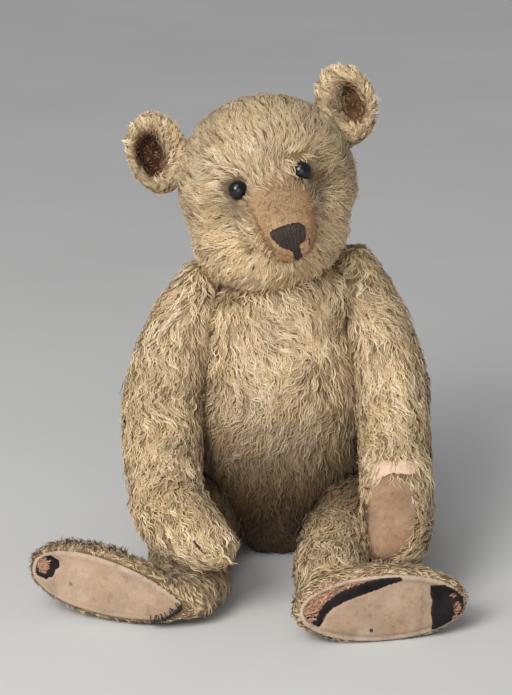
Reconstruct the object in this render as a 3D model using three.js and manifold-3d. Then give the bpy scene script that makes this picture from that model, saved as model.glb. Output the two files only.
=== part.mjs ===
// Jointed mohair teddy bear, sitting. Millimetres, +Z up, floor at z = 0.
// +X is the bear's left side, the bear faces -Y.
import * as THREE from 'three';
import { mergeVertices } from 'three/addons/utils/BufferGeometryUtils.js';
import Module from 'manifold-3d';

const wasm = await Module();
wasm.setup();

// ---------------------------------------------------------------- dimensions
const CLOTH = 3.0;            // backing cloth with the matted root of the pile
const FILL_GAP = 0.45;        // between cloth and stuffing
const JOINT_GAP = 0.25;       // half of the gap between two covers at a joint
const DISC_T = 2.2;           // hardboard joint disc
const WASHER_T = 0.8;
const WASHER_R = 8.0;
const PIN_R = 1.6;
const PIN_HEAD_R = 3.6;
const PIN_HEAD_T = 1.4;
const SLIP = 0.3;             // gap between loose hard parts
const HOLE_R = 2.3;
const FELT = 1.6;             // felt pads

const SEG = 14;               // round a limb
const SEG_R = 14;             // round a disc

const ARM_FLAT = 100;         // how far forward the inner side of an arm stays flat
const EYE_R = 6.2;            // boot button eyes
const EYE_DEPTH = 5.2;

// joints: point on the meeting plane, axis from torso to limb, disc radius, cap radii
const HIP_TILT = [0.80, -0.35, -0.48];
const JOINTS = {
  hip_right: { p: [-36.3, -28, 33.6], a: [-HIP_TILT[0], HIP_TILT[1], HIP_TILT[2]], disc: 16.5, limb: 25.5, depthL: 27 },
  hip_left: { p: [36.3, -28, 33.6], a: HIP_TILT, disc: 16.5, limb: 25.5, depthL: 27 },
  shoulder_right: { p: [-43.5, -3, 152.5], a: [-0.9962, 0, 0.0872], disc: 13.5, body: 23.5, depthB: 20 },
  shoulder_left: { p: [42, -3, 168], a: [0.9962, 0, 0.0872], disc: 13.5, body: 23.5, depthB: 20 },
};

// stations: x, y, z, half width, half depth
const TORSO = [
  [-1, -6, -7, 38, 36], [-1, -10, 22, 48, 47], [0, -12, 52, 54, 54], [0, -12, 80, 55, 54],
  [0, -8, 108, 52, 48], [0, -4, 134, 49.5, 42.5], [-1, -3, 160, 44.5, 37], [-4, -6, 182, 36, 33], [-6, -7, 200, 28, 27],
];
const ARM_RIGHT = [
  [-47.5, -3, 186.5, 11.5, 19], [-53, -3, 169, 17.5, 25.5], [-63.5, -8, 140, 22.8, 28], [-73, -26, 111, 24.5, 28],
  [-75, -52, 89, 24.5, 25], [-72, -86, 70, 22.5, 22], [-66.5, -120, 58.5, 23.5, 19.5],
  [-51, -146, 52, 21, 18.5], [-31, -158, 47.5, 16, 13],
];
const ARM_LEFT = [
  [46, -3, 197.5, 12, 20.5], [50.5, -3, 178, 17, 25.5], [61, -8, 148, 20.5, 28], [70, -24, 117, 22.5, 27],
  [72, -50, 91, 22, 24.5], [72, -82, 71, 21.5, 22], [72.5, -111, 56, 21, 19.5],
  [72, -133, 45.5, 19.5, 17.5], [70, -149, 37, 15.5, 13],
];
const LEG_RIGHT = [
  [-55, -28, 29, 24, 28], [-56, -48, 28.5, 26, 27], [-57, -74, 24.5, 25, 23.5],
  [-57, -100, 18, 23.5, 17], [-56.5, -135, 13.5, 21.5, 13], [-60, -168, 15.5, 18.5, 14.5],
];
const LEG_LEFT = [
  [52, -28, 29, 24, 28], [47, -55, 29, 27, 28], [40.5, -85, 27.5, 26.5, 26],
  [35, -112, 26, 25, 24.5], [31, -140, 24, 23.5, 23], [29.5, -178, 22.5, 22, 21.5],
];
// feet: middle of the sole, toe direction, outward normal of the sole
const FEET = {
  right: { c: [-105.5, -157, 22.8], toe: [-0.938, 0.298, 0.178], out: [-0.30, -0.95, 0.06], half: 52, heel: 14.5, toeH: 21.5, thick: 30 },
  left: { c: [60, -185.8, 21.2], toe: [0.976, 0.216, -0.02], out: [0.216, -0.975, 0.05], half: 53, heel: 20.5, toeH: 20.5, thick: 33 },
};
// head
const HEAD_ROLL = 15.5, HEAD_YAW = 6.5, HEAD_PITCH = 0.8;
const HEAD_C = [-8.8, -8, 239];
const NECK_P = [-3.5, -9, 180];
const NECK = { disc: 17 };

const COL = {
  mohair: [0x9c8a63, 0.95], ear: [0x94825c, 0.95], fill: [0xb58a4a, 0.9], board: [0x8a6f4d, 0.8],
  steel: [0x7d7b76, 0.45, 0.9], button: [0x0b0a0a, 0.15], thread: [0x241c19, 0.8],
  felt: [0xb79a7c, 0.95], blackFelt: [0x1f1c1c, 0.95], cloth: [0xc7a08c, 0.95],
};

// ---------------------------------------------------------------- vectors
const V = (a) => new THREE.Vector3(a[0], a[1], a[2]);
const rad = (d) => (d * Math.PI) / 180;

// head frame: hx across, hf forward along the muzzle, hz up
const spin = (axis, deg) => new THREE.Quaternion().setFromAxisAngle(axis, rad(deg));
const hx = new THREE.Vector3(1, 0, 0), hf = new THREE.Vector3(0, -1, 0), hz = new THREE.Vector3(0, 0, 1);
for (const v of [hx, hz]) v.applyQuaternion(spin(hf, HEAD_ROLL));
for (const v of [hx, hf]) v.applyQuaternion(spin(hz, HEAD_YAW));
for (const v of [hf, hz]) v.applyQuaternion(spin(hx, HEAD_PITCH));
const H = (x, f, z) => V(HEAD_C).addScaledVector(hx, x).addScaledVector(hf, f).addScaledVector(hz, z);
JOINTS.neck = { p: NECK_P, a: hz.toArray(), ...NECK };

// ---------------------------------------------------------------- solids
function toMan(geometry) {
  let g = geometry.clone();
  g.deleteAttribute('normal');
  g.deleteAttribute('uv');
  g = mergeVertices(g, 1e-4);
  const make = (flip) => {
    const idx = Array.from(g.index.array);
    const tri = [];
    for (let i = 0; i < idx.length; i += 3) {
      const [a, b, c] = [idx[i], idx[i + 1], idx[i + 2]];
      if (a === b || b === c || a === c) continue;
      tri.push(a, flip ? c : b, flip ? b : c);
    }
    return new wasm.Manifold(new wasm.Mesh({
      numProp: 3, vertProperties: Float32Array.from(g.attributes.position.array), triVerts: Uint32Array.from(tri),
    }));
  };
  const m = make(false);
  return m.volume() > 0 ? m : make(true);
}

function toGeometry(man) {
  const mesh = man.getMesh();
  const g = new THREE.BufferGeometry();
  const n = mesh.numProp;
  const src = mesh.vertProperties;
  const pos = new Float32Array((src.length / n) * 3);
  for (let i = 0; i < src.length / n; i++) for (let k = 0; k < 3; k++) pos[i * 3 + k] = src[i * n + k];
  g.setAttribute('position', new THREE.BufferAttribute(pos, 3));
  g.setIndex(new THREE.BufferAttribute(Uint32Array.from(mesh.triVerts), 1));
  g.computeVertexNormals();
  return g;
}

const largest = (man) => man.decompose().sort((a, b) => b.volume() - a.volume())[0];
const unite = (list) => list.reduce((a, b) => a.add(b));

function placed(geometry, origin, xAxis, yAxis, zAxis) {
  const m = new THREE.Matrix4().makeBasis(xAxis, yAxis, zAxis);
  m.setPosition(origin);
  return geometry.applyMatrix4(m);
}

// basis with z along the given axis
function frameOf(axis) {
  const z = axis.clone().normalize();
  const hint = Math.abs(z.y) < 0.9 ? new THREE.Vector3(0, 1, 0) : new THREE.Vector3(1, 0, 0);
  const x = hint.clone().addScaledVector(z, -hint.dot(z)).normalize();
  const y = new THREE.Vector3().crossVectors(z, x);
  return [x, y, z];
}

// sweep of an oval section along stations, ends rounded; off > 0 shrinks it
function limb(stations, ref, nt, p, off, section = 2.0, seg = SEG) {
  const pts = stations.map((s) => new THREE.Vector3(s[0], s[1], s[2]));
  const n = stations.length - 1;
  const cr = (k, u) => {
    const x = Math.min(Math.max(u * n, 0), n - 1e-9);
    const i = Math.floor(x), f = x - i;
    const at = (j) => stations[j][k];
    const p0 = at(i), p1 = at(i + 1);
    const pm = i > 0 ? at(i - 1) : 2 * p0 - p1;
    const p2 = i + 2 <= n ? at(i + 2) : 2 * p1 - p0;
    return 0.5 * (2 * p0 + (-pm + p1) * f + (2 * pm - 5 * p0 + 4 * p1 - p2) * f * f + (-pm + 3 * p0 - 3 * p1 + p2) * f * f * f);
  };
  const point = (u) => new THREE.Vector3(cr(0, u), cr(1, u), cr(2, u));
  const g = new THREE.SphereGeometry(1, seg, nt);
  const pos = g.attributes.position;
  const R = ref.clone();
  for (let iy = 0; iy <= nt; iy++) {
    const th = (Math.PI * iy) / nt;
    const u = (0.45 * th) / Math.PI + (0.55 * (1 - Math.cos(th))) / 2;
    const c = point(u);
    const t = point(Math.min(u + 1e-3, 1)).sub(point(Math.max(u - 1e-3, 0))).normalize();
    const a = R.clone().addScaledVector(t, -R.dot(t)).normalize();
    const b = new THREE.Vector3().crossVectors(t, a);
    const w = iy === 0 || iy === nt ? 0 : Math.pow(Math.max(0, 1 - Math.pow(Math.abs(2 * u - 1), p)), 1 / p);
    const ra = Math.max(cr(3, u) - off, 0.5) * w, rb = Math.max(cr(4, u) - off, 0.5) * w;
    if (iy === 0) c.addScaledVector(t, off);
    if (iy === nt) c.addScaledVector(t, -off);
    for (let ix = 0; ix <= seg; ix++) {
      const ph = (2 * Math.PI * (ix % seg)) / seg;
      const cs = Math.cos(ph), sn = Math.sin(ph);
      const ca = Math.sign(cs) * Math.pow(Math.abs(cs), 2 / section), sa = Math.sign(sn) * Math.pow(Math.abs(sn), 2 / section);
      const q = c.clone().addScaledVector(a, ca * ra).addScaledVector(b, sa * rb);
      pos.setXYZ(iy * (seg + 1) + ix, q.x, q.y, q.z);
    }
  }
  return toMan(g);
}

function ellipsoid(c, ax, ay, az, r, off, seg = SEG, nt = 8) {
  const g = new THREE.SphereGeometry(1, seg, nt);
  return toMan(placed(g, c, ax.clone().multiplyScalar(r[0] - off), ay.clone().multiplyScalar(r[1] - off), az.clone().multiplyScalar(r[2] - off)));
}

// rounded cap about a joint axis: dir +1 on the limb side, -1 on the torso side
function cap(j, dir, radius, depth, off) {
  const r = radius - off, e = 4;
  const s0 = JOINT_GAP + off, s1 = depth - off;
  const prof = [[0, s0], [r - e, s0], [r, s0 + e], [r, s1 - 7], [r - 9, s1], [0, s1]];
  const g = new THREE.LatheGeometry(prof.map((q) => new THREE.Vector2(q[0], q[1])), SEG_R);
  return toMan(axial(g, j, dir));
}

// lathe geometry (about Y) laid along a joint axis
function axial(g, j, dir) {
  const a = V(j.a).normalize().multiplyScalar(dir);
  const [x, y, z] = frameOf(a);
  return placed(g, V(j.p), y, z, x);
}

function ring(j, dir, inner, outer, s0, s1, seg = SEG_R) {
  const prof = [[inner, s0], [outer, s0], [outer, s1], [inner, s1], [inner, s0]];
  return toMan(axial(new THREE.LatheGeometry(prof.map((q) => new THREE.Vector2(q[0], q[1])), seg), j, dir));
}

function rod(j, dir, r, s0, s1, seg = SEG_R) {
  const prof = [[0, s0], [r, s0], [r, s1], [0, s1]];
  return toMan(axial(new THREE.LatheGeometry(prof.map((q) => new THREE.Vector2(q[0], q[1])), seg), j, dir));
}

// everything at or beyond distance s from a point along an axis
function beyond(p, axis, s) {
  const g = new THREE.BoxGeometry(900, 900, 900);
  g.translate(0, 0, 450 + s);
  const [x, y, z] = frameOf(V(axis));
  return toMan(placed(g, V(p), x, y, z));
}
const above = (z) => beyond([0, 0, 0], [0, 0, 1], z);

// straight prism of a closed outline lying in the (u, v) plane, running along w
function prism(outline, origin, u, v, w, from, to) {
  const shape = new THREE.Shape(outline.map((q) => new THREE.Vector2(q[0], q[1])));
  const g = new THREE.ExtrudeGeometry(shape, { depth: to - from, bevelEnabled: false });
  g.translate(0, 0, from);
  return toMan(placed(g, origin, u, v, w));
}
const oval = (a, b, n = 16, cx = 0, cy = 0) => Array.from({ length: n }, (_, i) => {
  const t = (2 * Math.PI * i) / n;
  return [cx + a * Math.cos(t), cy + b * Math.sin(t)];
});

// ---------------------------------------------------------------- outer forms
const UP = new THREE.Vector3(0, 0, 1);
const XX = new THREE.Vector3(1, 0, 0);

// inner surfaces (inside = true) use a coarser mesh, which lies further in
function torsoForm(off, inside = false) {
  let m = limb(TORSO, XX, inside ? 8 : 10, 3.0, off, 2.25, inside ? 14 : 18);
  for (const k of ['shoulder_right', 'shoulder_left']) m = m.add(cap(JOINTS[k], -1, JOINTS[k].body, JOINTS[k].depthB, off));
  for (const k of Object.keys(JOINTS)) m = m.subtract(beyond(JOINTS[k].p, JOINTS[k].a, -(JOINT_GAP + off)));
  return m.intersect(above(off));
}

function armForm(side, off, inside = false) {
  const j = JOINTS['shoulder_' + side];
  const m = limb(side === 'right' ? ARM_RIGHT : ARM_LEFT, XX, inside ? 8 : 10, 4.2, off, 2, inside ? 10 : SEG);
  // flat against the torso down to the elbow; the paw may reach further in
  const back = j.a.map((v) => -v);
  return m.subtract(beyond(j.p, back, -(JOINT_GAP + off)).intersect(beyond([0, -ARM_FLAT, 0], [0, 1, 0], 0)));
}

function footFrame(side) {
  const f = FEET[side];
  const t = V(f.toe).normalize();
  const n = V(f.out);
  n.addScaledVector(t, -n.dot(t)).normalize();
  let u = new THREE.Vector3().crossVectors(t, n.clone().negate()).normalize();
  if (u.z < 0) u.negate();
  return { c: V(f.c), t, n, u, f };
}
// half height of the sole where cos(angle) = c, +1 at the toe
const soleHalf = (f, c) => f.heel + (f.toeH - f.heel) * (0.5 + 0.5 * c) + 2.0 * (1 - c * c);

function footForm(side, off, inside = false) {
  const { c, t, n, u, f } = footFrame(side);
  const rings = [[0, 0], [0.93, 0], [1, 0.12], [0.98, 0.4], [0.8, 0.76], [0.4, 0.96], [0, 1]];
  const nt = rings.length - 1;
  const seg = inside ? 12 : 16;
  const g = new THREE.SphereGeometry(1, seg, nt);
  const pos = g.attributes.position;
  for (let iy = 0; iy <= nt; iy++) {
    const [s, w] = rings[iy];
    const depth = off + w * (f.thick - 2 * off);
    for (let ix = 0; ix <= seg; ix++) {
      const ph = (2 * Math.PI * (ix % seg)) / seg;
      const cs = Math.cos(ph), sn = Math.sin(ph);
      const ca = Math.sign(cs) * Math.pow(Math.abs(cs), 0.88), sa = Math.sign(sn) * Math.pow(Math.abs(sn), 0.9);
      const q = c.clone().addScaledVector(t, ca * s * (f.half - off)).addScaledVector(u, sa * s * (soleHalf(f, ca) - off)).addScaledVector(n, -depth);
      pos.setXYZ(iy * (seg + 1) + ix, q.x, q.y, q.z);
    }
  }
  return toMan(g);
}

function legForm(side, off, inside = false) {
  const j = JOINTS['hip_' + side];
  const m = unite([
    limb(side === 'right' ? LEG_RIGHT : LEG_LEFT, XX, inside ? 6 : 8, 4.0, off, 2, inside ? 10 : SEG),
    cap(j, 1, j.limb, j.depthL, off),
    footForm(side, off, inside),
  ]);
  return m.intersect(beyond(j.p, j.a, JOINT_GAP + off)).intersect(above(off));
}

const MUZZLE = [[0, 18, -5, 35, 31], [0, 46, -9.5, 26, 24.5], [0, 66, -17, 19.5, 19], [0, 83, -22.5, 15, 14.5]];
function muzzleForm(off, inside = false) {
  const st = MUZZLE.map((m) => { const q = H(m[0], m[1], m[2]); return [q.x, q.y, q.z, m[3], m[4]]; });
  return limb(st, hx, inside ? 5 : 6, 4, off, 2.2, inside ? 10 : 14);
}
function headForm(off, inside = false) {
  const m = unite([
    ellipsoid(H(0.8, -2, 3), hx, hz, hf, [56, 53.5, 51], off, inside ? 14 : 18, inside ? 8 : 10),
    ellipsoid(H(-4.6, 2, -23.2), hx, hz, hf, [49, 43.6, 44], off, inside ? 12 : 16, inside ? 7 : 9),
    muzzleForm(off, inside),
  ]);
  return m.intersect(beyond(JOINTS.neck.p, JOINTS.neck.a, JOINT_GAP + off));
}

// ---------------------------------------------------------------- nodes
const group = new THREE.Group();
group.name = 'threadbare_teddy_bear';
function node(name, man, mat) {
  const [color, roughness, metalness = 0] = COL[mat];
  const mesh = new THREE.Mesh(toGeometry(largest(man)), new THREE.MeshStandardMaterial({ color, roughness, metalness }));
  mesh.name = name;
  mesh.material.name = mat + '_' + name;
  group.add(mesh);
}

const S_COVER = JOINT_GAP + CLOTH;
const S_DISC = S_COVER + SLIP;
const S_WASHER = S_DISC + DISC_T + SLIP;
const S_HEAD = S_WASHER + WASHER_T + SLIP;
const S_END = S_HEAD + PIN_HEAD_T;
const FILL = CLOTH + FILL_GAP;

const pinHole = (j) => rod(j, 1, HOLE_R, -(S_COVER + 4), S_COVER + 4, 8);
const pocket = (j, dir) => rod(j, dir, j.disc + 0.5, 0, S_END + 0.4);

function jointHardware(key, j, bodyName, limbName, prefix) {
  node(`${prefix}_disc_body`, ring(j, -1, HOLE_R, j.disc, S_DISC, S_DISC + DISC_T), 'board');
  node(`${prefix}_washer_body`, ring(j, -1, HOLE_R, WASHER_R, S_WASHER, S_WASHER + WASHER_T, 10), 'steel');
  node(`${prefix}_disc_${limbName}`, ring(j, 1, HOLE_R, j.disc, S_DISC, S_DISC + DISC_T), 'board');
  node(`${prefix}_washer_${limbName}`, ring(j, 1, HOLE_R, WASHER_R, S_WASHER, S_WASHER + WASHER_T, 10), 'steel');
  const prof = [[0, -S_END], [PIN_HEAD_R, -S_END], [PIN_HEAD_R, -S_HEAD], [PIN_R, -S_HEAD], [PIN_R, S_HEAD], [PIN_HEAD_R, S_HEAD], [PIN_HEAD_R, S_END], [0, S_END]];
  node(`${prefix}_pin`, toMan(axial(new THREE.LatheGeometry(prof.map((q) => new THREE.Vector2(q[0], q[1])), 8), j, 1)), 'steel');
}

// torso
{
  let cover = torsoForm(0).subtract(torsoForm(CLOTH, true));
  let fill = torsoForm(FILL, true);
  for (const k of Object.keys(JOINTS)) {
    cover = cover.subtract(pinHole(JOINTS[k]));
    fill = fill.subtract(pocket(JOINTS[k], -1));
  }
  node('torso_cover', cover, 'mohair');
  node('torso_stuffing', fill, 'fill');
}

// head
const headOuter = headForm(0);
const eyeC = { right: H(-20.5, 0, 12.2), left: H(20.5, 0, 12.2) };
const EYE_F = 47.5;
function eyeForm(side, grow) {
  const c = eyeC[side].clone().addScaledVector(hf, EYE_F);
  return ellipsoid(c, hx, hz, hf, [EYE_R, EYE_R, EYE_DEPTH], -grow, 12, 8);
}
{
  let cover = headOuter.subtract(headForm(CLOTH, true)).subtract(pinHole(JOINTS.neck));
  for (const s of ['right', 'left']) cover = cover.subtract(eyeForm(s, 0.4));
  let fill = headForm(FILL, true).subtract(pocket(JOINTS.neck, 1));
  for (const s of ['right', 'left']) fill = fill.subtract(eyeForm(s, 0.4));
  node('head_cover', cover, 'mohair');
  node('head_stuffing', fill, 'fill');
  for (const s of ['right', 'left']) node(`eye_${s}`, eyeForm(s, 0), 'button');
  const grown = muzzleForm(-1.7).subtract(headForm(-0.35)).subtract(muzzleForm(-0.35));
  const nose = [[-10.4, 5], [-3.7, 6.6], [3.4, 6.9], [7.6, 6], [10.4, 3.3], [11, -0.6], [10.4, -4.4], [8.2, -6], [5, -6.6], [4.6, -12], [-0.4, -12], [-1.2, -8.4], [-5.4, -6.6], [-8.6, -3.6], [-10.2, 0.4]];
  node('nose_stitching', grown.intersect(prism(nose, H(0, 0, -15.8), hx, hz, hf, 70, 112)), 'thread');
  const mouth = [[-0.2, -12.6], [4.2, -12.6], [3.4, -19], [1.2, -19]];
  node('mouth_stitch', muzzleForm(-1.3).subtract(muzzleForm(-0.35)).intersect(prism(mouth, H(0, 0, -15.8), hx, hz, hf, 62, 112)), 'thread');
}

// ears, cupped to the front
const headClear = headForm(-0.35);
for (const [side, c, rx] of [['right', H(-60.8, -5, 38.4), 18.5], ['left', H(62.3, -5, 33.5), 18.5]]) {
  const ear = ellipsoid(c, hx, hz, hf, [rx, 26.5, 9], 0, 14, 8);
  const hollow = ellipsoid(c.clone().addScaledVector(hf, 6.5).addScaledVector(hz, -1), hx, hz, hf, [rx - 5.5, 19.5, 8], 0, 14, 8);
  node(`ear_${side}`, ear.subtract(hollow).subtract(headClear), 'ear');
}
jointHardware('neck', JOINTS.neck, 'torso', 'head', 'neck');

// arms
const PAW = {
  right: { c: V([-57, -131, 55]), n: V([0.2, 0.1, -0.97]).normalize(), along: V([0.45, -0.85, -0.2]), a: 23, b: 15 },
  left: { c: V([70.5, -123.5, 48.5]), n: V([0.02, -0.78, 0.62]).normalize(), along: V([0, -0.62, -0.78]), a: 29, b: 16 },
};
for (const side of ['right', 'left']) {
  const j = JOINTS['shoulder_' + side];
  const pw = PAW[side];
  const u = pw.along.clone().addScaledVector(pw.n, -pw.along.dot(pw.n)).normalize();
  const v = new THREE.Vector3().crossVectors(pw.n, u);
  const outer = armForm(side, 0);
  const window_ = prism(oval(pw.a + 0.4, pw.b + 0.4), pw.c, u, v, pw.n, 0, 60);
  const cover = outer.subtract(armForm(side, CLOTH, true)).subtract(pinHole(j)).subtract(window_);
  node(`arm_${side}_cover`, cover, 'mohair');
  node(`arm_${side}_stuffing`, armForm(side, FILL, true).subtract(pocket(j, 1)), 'fill');
  node(`paw_pad_${side}`, outer.subtract(armForm(side, FELT)).intersect(prism(oval(pw.a, pw.b), pw.c, u, v, pw.n, 2, 60)), 'felt');
  if (side === 'left') {
    const scrap = [[-41, -12], [-37, -14], [-33, -13], [-31.5, -6], [-31, 2], [-32, 9], [-34, 14], [-39, 13], [-42, 7], [-40, 1], [-43, -5]];
    const strip = armForm(side, -1.3).subtract(armForm(side, -0.35)).intersect(prism(scrap, pw.c, u, v, pw.n, 0, 60));
    node('paw_cloth_remnant_left', strip, 'cloth');
  }
  jointHardware('shoulder', j, 'torso', 'arm', `shoulder_${side}`);
}

// legs
for (const side of ['right', 'left']) {
  const j = JOINTS['hip_' + side];
  const { c, t, n, u, f } = footFrame(side);
  const w = n.clone();
  // outline of the sole shrunk by d and scaled by k
  const sole = (d, k = 1) => Array.from({ length: 20 }, (_, i) => {
    const ph = (2 * Math.PI * i) / 20;
    const cs = Math.cos(ph), sn = Math.sin(ph);
    const ca = Math.sign(cs) * Math.pow(Math.abs(cs), 0.88), sa = Math.sign(sn) * Math.pow(Math.abs(sn), 0.9);
    return [ca * (f.half * k - d), sa * (soleHalf(f, ca) * k - d)];
  });
  const pr = (outline, from, to) => prism(outline, c, t, u, w, from, to);
  const outer = legForm(side, 0);
  const cover = outer.subtract(legForm(side, CLOTH, true)).subtract(pinHole(j)).subtract(pr(sole(4.1), -9, 20));
  const pad = outer.subtract(legForm(side, FELT)).intersect(pr(sole(4.5), -9, 20));
  const under = legForm(side, FELT + 0.25).subtract(legForm(side, FELT + 1.2)).intersect(pr(sole(7), -9, 20));
  let worn;
  if (side === 'right') {
    worn = pr([[33, 3], [37, 8], [42, 9], [43, 4], [41, -3], [38, -9], [35, -7], [37, -1]], -9, 20);
  } else {
    worn = pr([[29, 12], [37, 10.5], [41.5, 4], [42, -4], [39, -10], [31, -13], [29.5, -2]], -9, 20)
      .add(pr([[-43, -6], [-42, 3], [-35, 10], [-22, 15], [-4, 17], [-4, 14], [-18, 11], [-30, 5], [-37, -3], [-38, -10]], -9, 20));
  }
  node(`leg_${side}_cover`, cover, 'mohair');
  node(`leg_${side}_stuffing`, legForm(side, FILL, true).subtract(pocket(j, 1)), 'fill');
  node(`foot_pad_${side}`, pad.subtract(worn), 'felt');
  node(`foot_underpad_${side}`, under, 'blackFelt');
  if (side === 'right') {
    const darn = [[-47, 0], [-45, -7], [-38, -13], [-28, -16], [-28, -18.5], [-40, -16.5], [-48.5, -9], [-49.8, 0]];
    node('heel_darning_right', footForm(side, -1.2).subtract(footForm(side, -0.35)).subtract(legForm(side, -0.35)).intersect(pr(darn, -6, 20)).intersect(above(0.3)), 'thread');
  }
  jointHardware('hip', j, 'torso', 'leg', `hip_${side}`);
}

export default group;
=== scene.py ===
import math

import bpy
import numpy as np
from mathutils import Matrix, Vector
from mathutils.bvhtree import BVHTree
from mathutils.kdtree import KDTree


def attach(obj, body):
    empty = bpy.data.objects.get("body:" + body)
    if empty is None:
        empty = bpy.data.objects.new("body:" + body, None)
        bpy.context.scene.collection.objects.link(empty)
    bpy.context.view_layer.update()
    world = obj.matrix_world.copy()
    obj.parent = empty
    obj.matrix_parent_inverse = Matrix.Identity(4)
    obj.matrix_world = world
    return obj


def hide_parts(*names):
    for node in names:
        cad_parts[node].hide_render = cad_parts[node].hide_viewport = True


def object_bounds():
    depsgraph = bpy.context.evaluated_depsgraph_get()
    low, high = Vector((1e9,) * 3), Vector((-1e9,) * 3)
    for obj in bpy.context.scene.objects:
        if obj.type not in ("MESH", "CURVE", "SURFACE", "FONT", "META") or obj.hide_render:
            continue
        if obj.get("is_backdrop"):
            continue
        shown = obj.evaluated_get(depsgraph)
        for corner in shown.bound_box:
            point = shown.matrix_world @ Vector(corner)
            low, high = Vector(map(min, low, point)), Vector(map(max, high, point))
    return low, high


# Looks of the jointed mohair bear: skins, pile, felt soles and pads, stitching, eyes.
# Lengths are in millimetres until a mesh is made.
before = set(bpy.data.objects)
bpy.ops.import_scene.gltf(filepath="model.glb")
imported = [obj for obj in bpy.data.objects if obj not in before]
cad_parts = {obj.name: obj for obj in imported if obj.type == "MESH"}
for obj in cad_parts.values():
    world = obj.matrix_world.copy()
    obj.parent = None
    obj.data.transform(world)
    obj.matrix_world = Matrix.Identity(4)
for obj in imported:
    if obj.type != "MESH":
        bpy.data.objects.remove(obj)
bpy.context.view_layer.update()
MM = 0.001
RNG = np.random.default_rng(20)

# ------------------------------------------------------------------ numbers
GAP = 0.25
SOLE_IN = 2.7            # how deep the cloth lies under a sole's two felt layers
TORSO = [[-1, -6, -7, 38, 36], [-1, -10, 22, 48, 47], [0, -12, 52, 54, 54], [0, -12, 80, 55, 54],
         [0, -8, 108, 52, 48], [0, -4, 134, 49.5, 42.5], [-1, -3, 160, 44.5, 37], [-4, -6, 182, 36, 33], [-6, -7, 200, 28, 27]]
ARM = {
    "right": [[-47.5, -3, 186.5, 11.5, 19], [-53, -3, 169, 17.5, 25.5], [-63.5, -8, 140, 22.8, 28], [-73, -26, 111, 24.5, 28],
              [-75, -52, 89, 24.5, 25], [-72, -86, 70, 22.5, 22], [-66.5, -120, 58.5, 23.5, 19.5],
              [-51, -146, 52, 21, 18.5], [-31, -158, 47.5, 16, 13]],
    "left": [[46, -3, 197.5, 12, 20.5], [50.5, -3, 178, 17, 25.5], [61, -8, 148, 20.5, 28], [70, -24, 117, 22.5, 27],
             [72, -50, 91, 22, 24.5], [72, -82, 71, 21.5, 22], [71.8, -111, 56, 21.8, 19.5],
             [70.8, -133, 45.5, 20.8, 17.5], [69.3, -150.5, 36, 17.5, 13.8]]}
LEG = {
    "right": [[-55, -28, 29, 24, 28], [-56, -48, 28.5, 26, 27], [-57, -74, 24.5, 25, 23.5],
              [-57, -100, 18, 23.5, 17], [-56.5, -135, 13.5, 21.5, 13], [-60, -168, 15.5, 18.5, 14.5]],
    "left": [[52, -28, 29, 24, 28], [47, -55, 29, 27, 28], [40.5, -85, 27.5, 26.5, 26],
             [35, -112, 26, 25, 24.5], [31, -140, 24, 23.5, 23], [29.5, -178, 22.5, 22, 21.5]]}
FEET = {
    "right": dict(c=[-105.5, -157, 22.8], toe=[-0.938, 0.298, 0.178], out=[-0.30, -0.95, 0.06], half=52, heel=14.5, toeH=21.5, thick=30),
    "left": dict(c=[60, -185.8, 21.2], toe=[0.976, 0.216, -0.02], out=[0.216, -0.975, 0.05], half=53, heel=20.5, toeH=20.5, thick=33)}
JOINT = {
    "hip_right": dict(p=[-36.3, -28, 33.6], a=[-0.80, -0.35, -0.48], disc=16.5, limb=25.5, depth=27),
    "hip_left": dict(p=[36.3, -28, 33.6], a=[0.80, -0.35, -0.48], disc=16.5, limb=25.5, depth=27),
    "shoulder_right": dict(p=[-43.5, -3, 152.5], a=[-0.9962, 0, 0.0872], disc=13.5, body=23.5, depth=20),
    "shoulder_left": dict(p=[42, -3, 168], a=[0.9962, 0, 0.0872], disc=13.5, body=23.5, depth=20)}
HEAD_C = np.array([-8.8, -8, 239.0])
MUZZLE = [[0, 18, -5, 35, 31], [0, 46, -9.5, 26, 24.5], [0, 66, -17, 19.5, 19], [0, 83, -22.5, 15, 14.5]]
PAW = {
    "right": dict(c=[-57, -131, 55], n=[0.2, 0.1, -0.97], along=[0.45, -0.85, -0.2], a=23, b=15),
    "left": dict(c=[70.5, -123.5, 48.5], n=[0.02, -0.78, 0.62], along=[0, -0.62, -0.78], a=29, b=16)}


# ------------------------------------------------------------------ small maths
def unit(v):
    v = np.asarray(v, float)
    return v / np.maximum(np.linalg.norm(v, axis=-1, keepdims=True), 1e-9)


def tang(d, n):
    return unit(d - n * (d * n).sum(-1, keepdims=True))


def turn(d, n, ang):
    ang = np.asarray(ang)[:, None]
    return d * np.cos(ang) + np.cross(n, d) * np.sin(ang)


def sstep(a, b, x):
    t = np.clip((x - a) / (b - a), 0, 1)
    return t * t * (3 - 2 * t)


def mix(a, b, t):
    return a + (b - a) * t


def lattice(ix, iy, iz, seed):
    h = (ix * 73856093) ^ (iy * 19349663) ^ (iz * 83492791) ^ (seed * 40503 + 977)
    h = h & 0xFFFFFFFF
    h = ((h ^ (h >> 13)) * 1274126177) & 0xFFFFFFFF
    return ((h ^ (h >> 16)) & 0xFFFF) / 32767.5 - 1


def vn(p, scale, seed=0):
    """Smooth value noise from -1 to 1 at points p (n, 3), features about scale wide."""
    q = np.asarray(p, float) / scale + 311.7
    i = np.floor(q).astype(np.int64)
    f = q - i
    f = f * f * (3 - 2 * f)
    out = 0
    for dx in (0, 1):
        for dy in (0, 1):
            for dz in (0, 1):
                w = (f[..., 0] if dx else 1 - f[..., 0]) * (f[..., 1] if dy else 1 - f[..., 1]) * (f[..., 2] if dz else 1 - f[..., 2])
                out = out + w * lattice(i[..., 0] + dx, i[..., 1] + dy, i[..., 2] + dz, seed)
    return out


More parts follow.
